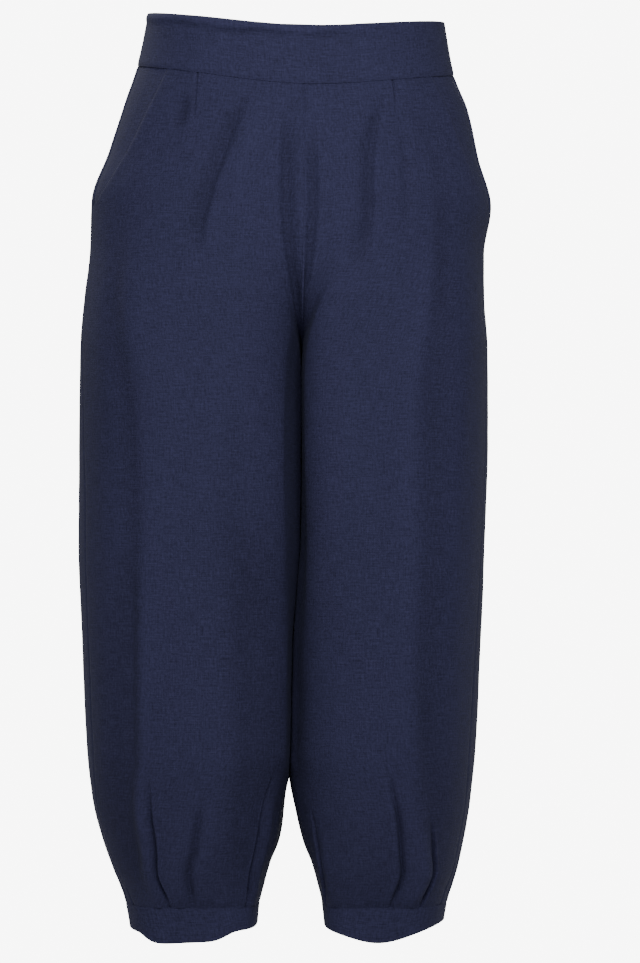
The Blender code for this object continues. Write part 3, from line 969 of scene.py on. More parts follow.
def cloth_lengths(points: Array) -> Array:
    """Width along each row and length down each column, from the grid's middle and top.

    Args:
        points: Grid of points.

    Returns:
        For each point, two lengths in metres: running sums of the steps between points.
    """
    across = np.linalg.norm(np.diff(points, axis=1), axis=-1)
    across = np.concatenate([np.zeros((len(points), 1)), np.cumsum(across, axis=1)], axis=1)
    middle = points.shape[1] // 2
    across = across - across[:, middle : middle + 1]
    down = np.linalg.norm(np.diff(points, axis=0), axis=-1).mean(axis=1)
    down = np.concatenate([[0.0], np.cumsum(down)])[:, None] + 0 * across
    return np.stack([across, -down], axis=-1)


def cloth_object(
    name: str, outer: Array, inner: Array, relief: Array, closed: bool = False
) -> bpy.types.Object:
    """Closed shell of cloth between two grids, with cloth lengths, and the relief that the finish
    turns into painted shade and paler ridges.

    Args:
        name: Name of the object.
        outer: Grid of points on the outside.
        inner: The same grid on the inside.
        relief: Height of the fold at each point, from -1 in a crease, painted darkest as shade, to
            1 on a ridge, painted palest.
        closed: Whether the grid is a ring.

    Returns:
        The object, at the origin.
    """
    rows, columns, _ = outer.shape
    points = np.concatenate([outer.reshape(-1, 3), inner.reshape(-1, 3)])
    quads = grid_quads(rows, columns, closed)
    across = np.roll(outer, -1, axis=1)[rows // 2, 0] - outer[rows // 2, 0]
    down = outer[rows // 2 + 1, 0] - outer[rows // 2, 0]
    out = outer[rows // 2, 0] - inner[rows // 2, 0]
    if float(np.dot(np.cross(across, down), out)) < 0:
        quads = quads[:, ::-1]
    mesh = bpy.data.meshes.new(name)
    mesh.vertices.add(len(points))
    mesh.vertices.foreach_set("co", points.astype(np.float32).ravel())
    mesh.loops.add(quads.size)
    mesh.loops.foreach_set("vertex_index", quads.astype(np.int32).ravel())
    mesh.polygons.add(len(quads))
    mesh.polygons.foreach_set("loop_start", np.arange(0, quads.size, 4, dtype=np.int32))
    mesh.update(calc_edges=True)
    mesh.validate()
    lengths = np.tile(cloth_lengths(outer).reshape(-1, 2), (2, 1))
    cloth = mesh.uv_layers.new(name="cloth")
    cloth.data.foreach_set("uv", lengths[quads.ravel()].astype(np.float32).ravel())
    # The relief drives painted shade in creases and paler ridges, partly wear and partly painted
    # highlight, in the finish.
    tone = mesh.attributes.new("relief", "FLOAT", "POINT")
    tone.data.foreach_set("value", np.tile(relief.ravel(), 2).astype(np.float32))
    mesh.shade_smooth()
    mesh.set_sharp_from_angle(angle=SHARP_ANGLE)
    piece = bpy.data.objects.new(name, mesh)
    bpy.context.scene.collection.objects.link(piece)
    return piece


def edge_round(distance: Array, radius: float) -> Array:
    """How far a wall's face drops near its edge, so that the edge is a half circle.

    Args:
        distance: Distance from the edge.
        radius: Half of the wall.

    Returns:
        radius minus the height of a circle of that radius, 0 beyond it.
    """
    inside = np.clip(radius - distance, 0, radius)
    return radius - np.sqrt(np.clip(radius * radius - inside * inside, 0, None))


@dataclass(frozen=True, kw_only=True)
class ClothPiece:
    """What all cloth pieces share: their finish, their wall and their sewn edges.

    Attributes:
        finish: Material of the cloth.
        wall: Thickness of the shell.
        roll: How far the cloth turns in at a sewn edge.
        roll_width: Distance from the edge over which it does.
        seam_gap: Clearance between two sewn pieces.
        tone_height: Height of a fold that has the whole painted tone: the palest ridge or the
            darkest painted shade of a crease.
    """

    finish: bpy.types.Material
    wall: float = 1.1 * MM
    roll: float = 0.7 * MM
    roll_width: float = 2.2 * MM
    seam_gap: float = 0.04 * MM
    tone_height: float = 3.5 * MM

    def rolled(self, *distances: Array) -> Array:
        """How far the cloth turns in at its sewn edges: a bell across each one.

        Args:
            distances: Distance from each edge.

        Returns:
            Heights, 0 or below.
        """
        total = 0.0
        for distance in distances:
            total = total + bell(distance / self.roll_width)
        return -self.roll * total

    def relief(self, height: Array) -> Array:
        """Tone of folds of a height, from -1 in a crease to 1 on a ridge."""
        # Painted shade in creases below 0, paler ridges above 0, partly wear and partly painted
        # highlight.
        return np.clip(height / self.tone_height, -1, 1)

    def inset(self, place: float, z: Array) -> Array:
        """Half of the seam clearance, as a change of place at the heights z."""
        return 0.5 * self.seam_gap / FORM.panel_width(np.array(place), z)

    def dress(self, piece: bpy.types.Object, node: str, slot: Slot, cut: Sheet) -> None:
        """Give the piece its finish, hang it on the root body and hide the CAD node that it stands
        for.

        Args:
            piece: The cloth.
            node: The CAD node that it replaces.
            slot: Its material slot. Not used.
            cut: Its flat size. Not used.
        """
        piece.data.materials.append(self.finish)
        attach(piece, "root")
        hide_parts(node)
        log.info("%s: %d quads", piece.name, len(piece.data.polygons))


@dataclass(frozen=True, kw_only=True)
class LegPanel(ClothPiece):
    """A leg panel, front or back, from the waist seam to the seam of the hem band.

    Attributes:
        side: The wearer's side.
        columns: Columns of points.
        rows: Rows of points.
        row_low: Height of the last row, at the hem seam.
        row_high: Height of the first row, at the waist seam.
        pleats_from: Height below which the columns follow the pleats.
        edge_crowd: Width in places and strength of the crowd of columns at an edge.
        fold_crowd: The same at a dart or a pleat.
        seam_crowd: Width and strength of the crowd of rows at a seam.
        pleat_crowd: The same over the pleats.
        pleat_reach: Distance in places over which columns follow a pleat.
        fork_ease: Run below the start of the fork over which the centre seam's roll ends.
        hem_roll: Share of the roll that the edge at the hem band has.
        side_column: The column at the side seam.
    """

    side: Side
    columns: int = 150
    rows: int = 290
    row_low: float = -843 * MM
    row_high: float = -26 * MM
    pleats_from: float = -760 * MM
    edge_crowd: tuple[float, float] = (0.012, 3.0)
    fold_crowd: tuple[float, float] = (0.028, 4.0)
    seam_crowd: tuple[float, float] = (5 * MM, 4.0)
    pleat_crowd: tuple[float, float] = (90 * MM, 0.7)
    pleat_reach: float = 0.08
    fork_ease: float = 30 * MM
    hem_roll: float = 0.5
    side_column: ClassVar[slice] = slice(-1, None)

    def own_folds(self, kind: FoldKind, low: float, high: float) -> list[Fold]:
        """Folds of one kind that end between two places on the panel's side."""
        kin = [fold for fold in FOLDS if fold.kind is kind and fold.on(self.side)]
        return [fold for fold in kin if low < fold.places[2] < high]

    def columns_for(self, kind: FoldKind, low: float, high: float) -> Array:
        """Places of the columns, closer at the panel's edges and at its folds of one kind.

        Args:
            kind: The kind of fold.
            low: Place of the first column.
            high: Place of the last one.

        Returns:
            The sorted places.
        """
        crowds = [(low, *self.edge_crowd), (high, *self.edge_crowd)]
        for fold in self.own_folds(kind, low, high):
            crowds.append((fold.places[2], *self.fold_crowd))
        return spaced(low, high, self.columns, crowds)

    def row_values(self) -> Array:
        """Row heights at the side seam, closer at the two sewn edges and at the pleats.

        Returns:
            Heights in metres, from the top down.
        """
        crowds = [
            (self.row_high, *self.seam_crowd),
            (self.row_low, *self.seam_crowd),
            (self.row_low, *self.pleat_crowd),
        ]
        return spaced(self.row_low, self.row_high, self.rows, crowds)[::-1]

    def heights(self, place: Array, rows: Array) -> Array:
        """Heights of the points: they follow the waist seam above and the hem seam below.

        Args:
            place: Grid of places.
            rows: Row heights at the side seam.

        Returns:
            Grid of heights in metres.
        """
        top = WAIST_SEAM.at(FORM.hip_angle(place)) - self.seam_gap / 2
        bottom = HEM_SEAM.at(FORM.leg_angle(place, np.array(self.row_low))) + self.seam_gap / 2
        level = rows[:, None]
        near_top = smoothstep((level - FORM.fork_start) / (self.row_high - FORM.fork_start))
        fall = FORM.blend_bottom
        near_bottom = smoothstep((fall - level) / (fall - self.row_low))
        return level + (top - self.row_high) * near_top + (bottom - self.row_low) * near_bottom

    def places(self, low: float, high: float, rows: Array) -> Array:
        """Places of the points: dart columns above, pleat columns below, following each line.

        Args:
            low: Place of the panel's first edge.
            high: Place of its last edge.
            rows: Row heights at the side seam.

        Returns:
            Grid of places.
        """
        level = rows[:, None]
        waist = self.columns_for(FoldKind.DART, low, high)[None, :] + 0 * level
        hem = self.columns_for(FoldKind.PLEAT, low, high)[None, :] + 0 * level
        follow = 0 * hem
        for fold in self.own_folds(FoldKind.PLEAT, low, high):
            shift = fold.middle(level) - fold.places[2]
            follow = follow + shift * bell((hem - fold.places[2]) / self.pleat_reach)
        inside = smoothstep((hem - low) / self.pleat_reach)
        inside = inside * smoothstep((high - hem) / self.pleat_reach)
        hem = hem + follow * inside
        share = smoothstep((FORM.crotch - level) / (FORM.crotch - self.pleats_from))
        return waist + (hem - waist) * share

    def shell(self, name: str, place: Array, rows: Array, extra: Array) -> bpy.types.Object:
        """Points of the panel and its object.

        Args:
            name: Name of the object.
            place: Grid of places.
            rows: Row heights.
            extra: Grid of heights that only this panel has.

        Returns:
            The cloth object.
        """
        z = self.heights(place, rows)
        width = FORM.panel_width(place, z)
        folds = DRAPE.folds(self.side, place, z)
        height = folds + extra + DRAPE.uneven(self.side, place, z)
        centre = (1 - np.abs(place)) * width
        side = np.abs(place - place[:, self.side_column]) * width
        top, low = np.abs(z[:1] - z), np.abs(z - z[-1:])
        above_fork = smoothstep((z - FORM.fork_start) / self.fork_ease + 1)
        rolled = self.rolled(side, top) + self.rolled(centre) * above_fork
        rolled = rolled + self.hem_roll * self.rolled(low)
        height = height + rolled
        outer = FORM.raised(self.side, place, z, height)
        inner = FORM.raised(self.side, place, z, height - self.wall)
        # The folds and the rolled seams set the painted shade in troughs and the paler ridges.
        return cloth_object(name, outer, inner, self.relief(folds + rolled))


@dataclass(frozen=True, kw_only=True)
class FrontLeg(LegPanel):
    """Front leg. Its outer edge is the pocket mouth above and the side seam below.

    Attributes:
        pocket_from: Place from which the columns draw in to the pocket mouth.
        cut: Its flat size, with the cloth that the dart and the pleats take up.
    """

    pocket_from: float = -0.50
    cut: Sheet = Sheet(0.37, 0.83, 0.255, "hung", ("waistband_front",))

    def build(self) -> bpy.types.Object:
        """Make and dress the front leg.

        Returns:
            The cloth object.
        """
        rows = self.row_values()
        place = self.places(-1.0, 0.0, rows)
        beyond = np.clip((place - self.pocket_from) / (0 - self.pocket_from), 0, 1)
        edge = DRAPE.pocket_edge(rows)[:, None]
        place = np.clip(place + edge * beyond, -1, edge - self.inset(-0.5, rows)[:, None])
        extra = DRAPE.gape(place, self.heights(place, rows))
        piece = self.shell(f"cloth_leg_front_{self.side.word}", place, rows, extra)
        self.dress(piece, f"leg_front_{self.side.word}", Slot.LINEN, self.cut)
        return piece


@dataclass(frozen=True, kw_only=True)
class BackLeg(LegPanel):
    """Back leg, gathered under the elastic and pleated at the hem.

    Attributes:
        cut: Its flat size, with the cloth that the gathers and the pleats take up.
    """

    columns: int = 190
    rows: int = 240
    side_column: ClassVar[slice] = slice(0, 1)
    cut: Sheet = Sheet(0.50, 0.88, 0.36, "hung", ("waistband_back",))

    def build(self) -> bpy.types.Object:
        """Make and dress the back leg.

        Returns:
            The cloth object.
        """
        rows = self.row_values()
        place = np.clip(self.places(0.0, 1.0, rows), self.inset(0.5, rows)[:, None], 1)
        extra = DRAPE.gather(self.side, place, self.heights(place, rows))
        piece = self.shell(f"cloth_leg_back_{self.side.word}", place, rows, extra)
        self.dress(piece, f"leg_back_{self.side.word}", Slot.LINEN, self.cut)
        return piece


@dataclass(frozen=True, kw_only=True)
class PocketFacing(ClothPiece):
    """Facing of the hip that shows in the slanted pocket mouth.

    Attributes:
        side: The wearer's side.
        columns: Columns of points.
        rows: Rows of points.
        row_high: Height of the first row, at the waist seam.
        underlap: How far it reaches behind the front leg, in places.
        depth: How far it lies behind the front leg.
        tuck: How far it reaches up behind the waistband.
        flat: Its width, length and area.
    """

    side: Side
    columns: int = 40
    rows: int = 90
    row_high: float = -26 * MM
    underlap: float = 0.09
    depth: float = 1.15 * MM
    tuck: float = 7 * MM
    flat: tuple[float, float, float] = (0.09, 0.15, 0.0088)

    def build(self) -> bpy.types.Object:
        """Make and dress the facing.

        Returns:
            The cloth object.
        """
        rows = np.linspace(self.row_high, DRAPE.pocket_end, self.rows)
        edge = DRAPE.pocket_edge(rows)[:, None]
        share = np.linspace(0, 1, self.columns)[None, :]
        span = self.underlap - edge - self.inset(-0.5, rows)[:, None]
        place = edge - self.underlap + span * share
        top = WAIST_SEAM.at(FORM.hip_angle(place)) + self.tuck
        level = rows[:, None]
        near_top = smoothstep((level - FORM.fork_start) / (self.row_high - FORM.fork_start))
        z = level + (top - self.row_high) * near_top
        end = np.abs(place - place[:, -1:]) * FORM.panel_width(place, z)
        rolled = self.rolled(end)
        folds = DRAPE.folds(self.side, place, z)
        height = folds + DRAPE.uneven(self.side, place, z) - self.depth + rolled
        outer = FORM.raised(self.side, place, z, height)
        inner = FORM.raised(self.side, place, z, height - self.wall)
        name = f"cloth_pocket_facing_{self.side.word}"
        # The rolled edge by the side seam is painted darker as shade.
        piece = cloth_object(name, outer, inner, self.relief(rolled))
        cut = Sheet(*self.flat, "stretched", (f"leg_front_{self.side.word}",))
        self.dress(piece, f"pocket_facing_{self.side.word}", Slot.FACING, cut)
        return piece


@dataclass(frozen=True, kw_only=True)
class Waistband(ClothPiece):
    """Front or back half of the waistband: the front is shaped, the back is elastic.

    Attributes:
        front: Whether it is the front half.
        columns: Columns of points on each side of the centre.
        rows: Rows of points.
        proud: How far it stands outside the leg cloth.
        crumple_share: Share of the legs' unevenness that the doubled cloth has.
        edge_crowd: Width and strength of the crowd of rows at each edge, as shares.
        rim_height: Height of the soft roll along the top.
        rim_place: Distance of the roll below the top edge.
        rim_width: Half width of the roll.
        rim_end: Angle round the waist, to the left, at which roll and crease end.
        rim_fade: Angle over which they fade to that end.
        crease_place: Mean distance of the crease below the top edge.
        crease_wander: How far it strays from that.
        crease_width: Half width of the crease.
        crease_depth: Depth of the crease.
        crease_start: Angle round the waist, to the right, at which it starts.
        crease_fade: Angle over which it comes to its depth.
        crease_mean: Mean share of its depth that it has.
        crease_range: How much that share goes up and down.
        wander_turns: Swells of its place for each radian.
        wander_start: Where they start in the field of noise.
        wander_seed: Seed of that field.
        depth_turns: Swells of its depth for each radian.
        depth_start: Where they start in the field of noise.
        depth_seed: Seed of that field.
        front_cut: Flat size of the front half.
        back_cut: Flat size of the back half, before it is gathered.
    """

    front: bool
    columns: int = 150
    rows: int = 44
    wall: float = 2.0 * MM
    tone_height: float = 2.5 * MM
    proud: float = 0.5 * MM
    crumple_share: float = 0.6
    edge_crowd: tuple[float, float] = (0.03, 3.0)
    rim_height: float = 1.8 * MM
    rim_place: float = 5 * MM
    rim_width: float = 5 * MM
    rim_end: float = 1.15
    rim_fade: float = 1.5
    crease_place: float = 12 * MM
    crease_wander: float = 3.0 * MM
    crease_width: float = 2.8 * MM
    crease_depth: float = 2.4 * MM
    crease_start: float = -1.25
    crease_fade: float = 0.4
    crease_mean: float = 0.72
    crease_range: float = 0.45
    wander_turns: float = 3.0
    wander_start: float = 40
    wander_seed: int = 5
    depth_turns: float = 5.0
    depth_start: float = 70
    depth_seed: int = 6
    front_cut: Sheet = Sheet(
        0.42, 0.056, 0.0225, "stretched", ("leg_front_right", "leg_front_left")
    )
    back_cut: Sheet = Sheet(
        0.50, 0.056, 0.0265, "gathered", ("leg_back_right", "leg_back_left")
    )

    def rim(self, side: Side, place: Array, below: Array) -> Array:
        """Soft roll along the top and the uneven crease under it, weaker to the left.

        Args:
            side: The wearer's side.
            place: Places round the waist.
            below: Distance below the top edge.

        Returns:
            Heights: a bell at the roll minus a bell at the crease.
        """
        girth = side.value * FORM.hip_angle(place)
        strength = smoothstep((self.rim_end - girth) / self.rim_fade)
        creased = smoothstep((girth - self.crease_start) / self.crease_fade)
        turns = girth * self.wander_turns + self.wander_start
        wander = lattice_noise(turns, 0 * girth, self.wander_seed)
        turns = girth * self.depth_turns + self.depth_start
        patchy = lattice_noise(turns, 0 * girth, self.depth_seed)
        patchy = self.crease_mean + self.crease_range * patchy
        crease_at = self.crease_place + self.crease_wander * wander
        roll = self.rim_height * bell((below - self.rim_place) / self.rim_width)
        crease = self.crease_depth * patchy * bell((below - crease_at) / self.crease_width)
        return (roll - crease * creased) * strength

    def half(self, side: Side) -> tuple[Array, Array, Array]:
        """Points of one side of the half band, from its side seam to the centre.

        Args:
            side: The wearer's side.

        Returns:
            Outer points, inner points and relief.
        """
        end = -1.0 if self.front else 1.0
        inset = float(self.inset(-0.5, np.array(WAIST_SEAM.side)))
        place = np.linspace(inset * np.sign(end), end, self.columns)[None, :]
        place = place + np.zeros((self.rows, 1))
        angle = FORM.hip_angle(place)
        crowds = [(0, *self.edge_crowd), (1, *self.edge_crowd)]
        share = spaced(0, 1, self.rows, crowds)[::-1][:, None]
        bottom = WAIST_SEAM.at(angle) + self.seam_gap / 2
        top = WAIST_TOP.at(angle)
        z = bottom + (top - bottom) * share
        below, above = top - z, z - bottom
        seam = np.abs(place - place[:, :1]) * FORM.panel_width(place, z)
        detail = self.rolled(above, seam) + self.crumple_share * DRAPE.uneven(side, place, z)
        if self.front:
            detail = detail + self.rim(side, place, below)
        else:
            detail = detail + DRAPE.gather(side, place, z)
        height = self.proud + detail
        rounding = edge_round(below, self.wall / 2)
        outer = FORM.raised(side, place, z, height - rounding)
        inner = FORM.raised(side, place, z, height - self.wall + rounding)
        # Its relief paints the roll along the top paler as a highlight, and the crease, the
        # gathers' troughs and the sewn edge darker as shade.
        return outer, inner, self.relief(detail)

    def build(self) -> bpy.types.Object:
        """Make and dress the half band, from one side seam across to the other.

        Returns:
            The cloth object.
        """
        right, left = self.half(Side.RIGHT), self.half(Side.LEFT)
        outer, inner, relief = (
            np.concatenate([a, b[:, -2::-1]], axis=1) for a, b in zip(right, left)
        )
        word = "front" if self.front else "back"
        piece = cloth_object(f"cloth_waistband_{word}", outer, inner, relief)
        cut = self.front_cut if self.front else self.back_cut
        self.dress(piece, f"waistband_{word}", Slot.LINEN, cut)
        return piece


@dataclass(frozen=True, kw_only=True)
class HemBand(ClothPiece):
    """Band that takes in the pleats of one leg, a closed ring.

    Attributes:
        side: The wearer's side.
        front_columns: Columns of points from the inseam in front to the side seam.
        back_columns: Columns of points from there to the inseam behind.
        rows: Rows of points.
        edge_crowd: Width and strength of the crowd of rows at each edge, as shares.
        top_roll: Share of the roll that its upper edge has.
        sway: How far its lower edge goes up and down.
        sways: How often it does round the leg.
        sway_start: Angle by which the sways start earlier on both sides.
        sway_shift: Angle by which they start earlier on the left and later on the right.
        swell: Height of its slow unevenness.
        swells: Swells round the leg.
        swell_down: Size of a swell down the band.
        swell_start: Where the swells start in the field of noise, round and down.
        seed: Mean of the seeds of that field on the two sides.
        pull: Height of the small waves where it takes in the pleats.
        pulls: Waves round the leg.
        pull_run: Distance below its upper edge over which they fade.
        flat: Its width, length and area.
    """

    side: Side
    front_columns: int = 104
    back_columns: int = 156
    rows: int = 34
    wall: float = 2.0 * MM
    tone_height: float = 2.5 * MM
    edge_crowd: tuple[float, float] = (0.04, 3.0)
    top_roll: float = 0.5
    sway: float = 0.5 * MM
    sways: int = 4
    sway_start: float = 0.8
    sway_shift: float = 0.9
    swell: float = 0.45 * MM
    swells: float = 9.0
    swell_down: float = 30 * MM
    swell_start: tuple[float, float] = (40, 20)
    seed: int = 31
    pull: float = 0.25 * MM
    pulls: int = 22
    pull_run: float = 9 * MM
    flat: tuple[float, float, float] = (0.42, 0.033, 0.0135)

    def lower_edge(self, angle: Array) -> Array:
        """Heights of the lower edge: the side's own lobe, with a small sway.

        Args:
            angle: Angles round the leg, from straight ahead.

        Returns:
            Heights in metres.
        """
        edge = HEM_EDGE_LEFT if self.side is Side.LEFT else HEM_EDGE_RIGHT
        turn = self.sways * angle + self.sway_start + self.sway_shift * self.side.value
        return edge.at(angle) + self.sway * np.cos(turn)

    def build(self) -> bpy.types.Object:
        """Make and dress the ring.

        Returns:
            The cloth object.
        """
        front = np.linspace(-1, 0, self.front_columns, endpoint=False)
        back = np.linspace(0, 1, self.back_columns, endpoint=False)
        place = np.concatenate([front, back])[None, :] + np.zeros((self.rows, 1))
        angle = FORM.leg_angle(place, np.array(HEM_SEAM.side))
        crowds = [(0, *self.edge_crowd), (1, *self.edge_crowd)]
        share = spaced(0, 1, self.rows, crowds)[::-1][:, None]
        bottom = self.lower_edge(angle)
        top = HEM_SEAM.at(angle) - self.seam_gap / 2
        z = bottom + (top - bottom) * share
        below, above = top - z, z - bottom
        round_leg = angle * self.swells / (2 * math.pi) + self.swell_start[0]
        down_band = above / self.swell_down + self.swell_start[1]
        swell = lattice_noise(round_leg, down_band, self.seed + self.side.value)
        pull = self.pull * np.cos(self.pulls * angle) * bell(below / self.pull_run)
        height = self.top_roll * self.rolled(below) + self.swell * swell + pull
        rounding = edge_round(above, self.wall / 2)
        outer = FORM.raised(self.side, place, z, height - rounding)
        inner = FORM.raised(self.side, place, z, height - self.wall + rounding)
        name = f"cloth_hem_band_{self.side.word}"
        # The relief paints the rolled seam and the troughs of swells and pulls darker as shade,
        # and their crests paler.
        piece = cloth_object(name, outer, inner, self.relief(height), closed=True)
        rests = (f"leg_front_{self.side.word}", f"leg_back_{self.side.word}")
        cut = Sheet(*self.flat, "stretched", rests)
        self.dress(piece, f"hem_band_{self.side.word}", Slot.LINEN, cut)
        return piece


class NodeBoard:
    """Small helper that places shader nodes and joins their sockets."""

    def __init__(self, tree: bpy.types.NodeTree) -> None:
        """Keep the tree."""
        self.tree = tree

    def add(self, kind: str, **values: object) -> bpy.types.Node:
        """Add a node and set its properties.

        Args:
            kind: Node type, such as ShaderNodeMath.
            values: Properties of the node.

        Returns:
            The node.
        """
        node = self.tree.nodes.new(kind)
        for name, value in values.items():
            setattr(node, name, value)
        return node

    def join(self, source: bpy.types.NodeSocket, target: bpy.types.NodeSocket) -> None:
        """Link two sockets."""
        self.tree.links.new(source, target)

    def math(
        self,
        operation: str,
        first: bpy.types.NodeSocket | float,
        second: bpy.types.NodeSocket | float,
    ) -> bpy.types.NodeSocket:
        """Value of an operation on two sockets or numbers.

        Args:
            operation: Math node operation.
            first: Socket or number.
            second: Socket or number.

        Returns:
            The output socket.
        """
        node = self.add("ShaderNodeMath", operation=operation)
        for socket, value in zip(node.inputs, (first, second)):
            if isinstance(value, bpy.types.NodeSocket):
                self.join(value, socket)
            else:
                socket.default_value = value
        return node.outputs[0]

    def centred(self, value: bpy.types.NodeSocket) -> bpy.types.NodeSocket:
        """A noise from 0 to 1, moved to go from -0.5 to 0.5."""
        return self.math("SUBTRACT", value, 0.5)

    def noise(
        self, vector: bpy.types.NodeSocket, stretch: tuple[float, float], detail: float
    ) -> bpy.types.NodeSocket:
        """Noise from 0 to 1 on stretched cloth lengths.

        Args:
            vector: Cloth lengths in metres.
            stretch: Swells per metre across and down the cloth.
            detail: Octaves of the noise.

        Returns:
            The output socket.
        """
        scale = self.add("ShaderNodeVectorMath", operation="MULTIPLY")
        self.join(vector, scale.inputs[0])
        scale.inputs[1].default_value = (stretch[0], stretch[1], 1.0)
        node = self.add("ShaderNodeTexNoise", noise_dimensions="2D")
        self.join(scale.outputs[0], node.inputs["Vector"])
        node.inputs["Scale"].default_value = 1.0
        node.inputs["Detail"].default_value = detail
        return node.outputs["Fac"]


@dataclass(frozen=True)
class LinenWeave:
    """The weave that every linen finish shares: slubs in warp and weft, heather and threads.

    Attributes:
        warp: Slubs per metre across and down the cloth, long in the warp.
        weft: The same, long in the weft.
        heather: Clouds of heather per metre, both ways.
        thread_detail: Octaves of the slubs.
        heather_detail: Octaves of the heather.
        heather_relief: How much the heather adds to the height of the threads.
    """

    warp: tuple[float, float] = (1500, 70)
    weft: tuple[float, float] = (60, 1500)
    heather: tuple[float, float] = (430, 430)
    thread_detail: float = 2.0
    heather_detail: float = 3.0
    heather_relief: float = 0.5

    def build(self) -> bpy.types.NodeTree:
        """Make the node group.

        The tone is 1 plus the two centred noises of the threads times Slub and the centred
        noise of the heather times Heather. The height is the threads plus part of the heather.

        Returns:
            The group. Inputs: Cloth, Slub and Heather. Outputs: Tone and Height.
        """
        group = bpy.data.node_groups.new("linen_weave", "ShaderNodeTree")
        sockets = group.interface
        sockets.new_socket("Cloth", in_out="INPUT", socket_type="NodeSocketVector")
        for name in ("Slub", "Heather"):
            sockets.new_socket(name, in_out="INPUT", socket_type="NodeSocketFloat")
        for name in ("Tone", "Height"):
            sockets.new_socket(name, in_out="OUTPUT", socket_type="NodeSocketFloat")
        board = NodeBoard(group)
        inputs = board.add("NodeGroupInput").outputs
        outputs = board.add("NodeGroupOutput").inputs
        warp = board.noise(inputs["Cloth"], self.warp, self.thread_detail)
        weft = board.noise(inputs["Cloth"], self.weft, self.thread_detail)
        heather = board.noise(inputs["Cloth"], self.heather, self.heather_detail)
        threads = board.math("ADD", board.centred(warp), board.centred(weft))
        slub = board.math("MULTIPLY", threads, inputs["Slub"])
        cloud = board.math("MULTIPLY", board.centred(heather), inputs["Heather"])
        tone = board.math("ADD", board.math("ADD", slub, cloud), 1.0)
        board.join(tone, outputs["Tone"])
        raised = board.math("MULTIPLY", heather, self.heather_relief)
        board.join(board.math("ADD", threads, raised), outputs["Height"])
        return group


@dataclass(frozen=True)
class LinenFinish:
    """Matt navy linen: heathered colour, slubs, ridges paler as wear and painted highlight,
    creases with painted shade.

    Attributes:
        name: Name of the material.
        colour: Colour where the tone is low.
        pale: Colour where it is high.
        roughness: Mean roughness.
        rough_threads: How much of it follows the weave.
        specular: Strength of the plain gloss.
        sheen: Strength of the sheen of fine fibres.
        sheen_roughness: Spread of the sheen.
        sheen_tint: Colour of the sheen.
        slub: Strength of the slubs in the tone.
        heather: Strength of the heather in the tone.
        painted_shade_and_wear: How much paler ridges are, as wear and painted highlight, and how
            much darker creases are, as painted shade.
        dye: Strength of the uneven dye.
        dye_patches: Patches of dye per metre across and down the cloth.
        dye_detail: Octaves of the dye.
        fleck_floor: Tone that has the plain colour.
        fleck_gain: How quickly the colour becomes pale above it.
        bump: Strength of the thread relief.
        bump_height: Height of the thread relief.
    """

    name: str
    colour: Colour = (0.0081, 0.0083, 0.0213)
    pale: Colour = (0.0200, 0.0206, 0.0508)
    roughness: float = 0.86
    rough_threads: float = 0.06
    specular: float = 0.08
    sheen: float = 0.012
    sheen_roughness: float = 0.45
    sheen_tint: Colour = (0.45, 0.52, 0.72)
    slub: float = 0.9
    heather: float = 0.9
    painted_shade_and_wear: float = 0.22
    dye: float = 0.25
    dye_patches: tuple[float, float] = (9, 5)
    dye_detail: float = 3.0
    fleck_floor: float = 0.55
    fleck_gain: float = 1.1
    bump: float = 0.35
    bump_height: float = 0.6 * MM

    def build(self, weave: bpy.types.NodeTree) -> bpy.types.Material:
        """Make the material.

        Args:
            weave: The weave group.

        Returns:
            The material.
        """
        material = bpy.data.materials.new(self.name)
        material.use_nodes = True
        board = NodeBoard(material.node_tree)
        shader = material.node_tree.nodes["Principled BSDF"].inputs
        cloth = board.add("ShaderNodeUVMap", uv_map="cloth")
        threads = board.add("ShaderNodeGroup", node_tree=weave)
        board.join(cloth.outputs["UV"], threads.inputs["Cloth"])
        threads.inputs["Slub"].default_value = self.slub
        threads.inputs["Heather"].default_value = self.heather
        relief = board.add("ShaderNodeAttribute", attribute_name="relief")
        # Painted shade: the fold relief darkens creases and rolled seams, and pales ridges, partly
        # as wear and partly as painted highlight.
        painted_shade_and_wear = board.math("MULTIPLY", relief.outputs["Fac"], self.painted_shade_and_wear)
        dye = board.noise(cloth.outputs["UV"], self.dye_patches, self.dye_detail)
        patch = board.math("MULTIPLY", board.centred(dye), self.dye)
        tone = board.math("ADD", threads.outputs["Tone"], board.math("ADD", painted_shade_and_wear, patch))
        above = board.math("SUBTRACT", tone, self.fleck_floor)
        fleck = board.math("MULTIPLY", above, self.fleck_gain)
        board.join(self.mixed(board, fleck), shader["Base Color"])
        bump = board.add("ShaderNodeBump")
        bump.inputs["Strength"].default_value = self.bump
        bump.inputs["Distance"].default_value = self.bump_height
        board.join(threads.outputs["Height"], bump.inputs["Height"])
        board.join(bump.outputs["Normal"], shader["Normal"])
        rough = board.math("MULTIPLY", threads.outputs["Tone"], self.rough_threads)
        rough = board.math("ADD", rough, self.roughness - self.rough_threads)
        board.join(rough, shader["Roughness"])
        shader["Specular IOR Level"].default_value = self.specular
        shader["Sheen Weight"].default_value = self.sheen
        shader["Sheen Roughness"].default_value = self.sheen_roughness
        shader["Sheen Tint"].default_value = (*self.sheen_tint, 1.0)
        return material

    def mixed(self, board: NodeBoard, share: bpy.types.NodeSocket) -> bpy.types.NodeSocket:
        """Mix of the plain and the pale colour.

        Args:
            board: Where the node goes.
            share: Share of the pale colour.

        Returns:
            The output socket.
        """
        mix = board.add("ShaderNodeMix", data_type="RGBA", clamp_factor=True)
        board.join(share, mix.inputs["Factor"])
        mix.inputs[6].default_value = (*self.colour, 1.0)
        mix.inputs[7].default_value = (*self.pale, 1.0)
        return mix.outputs[2]


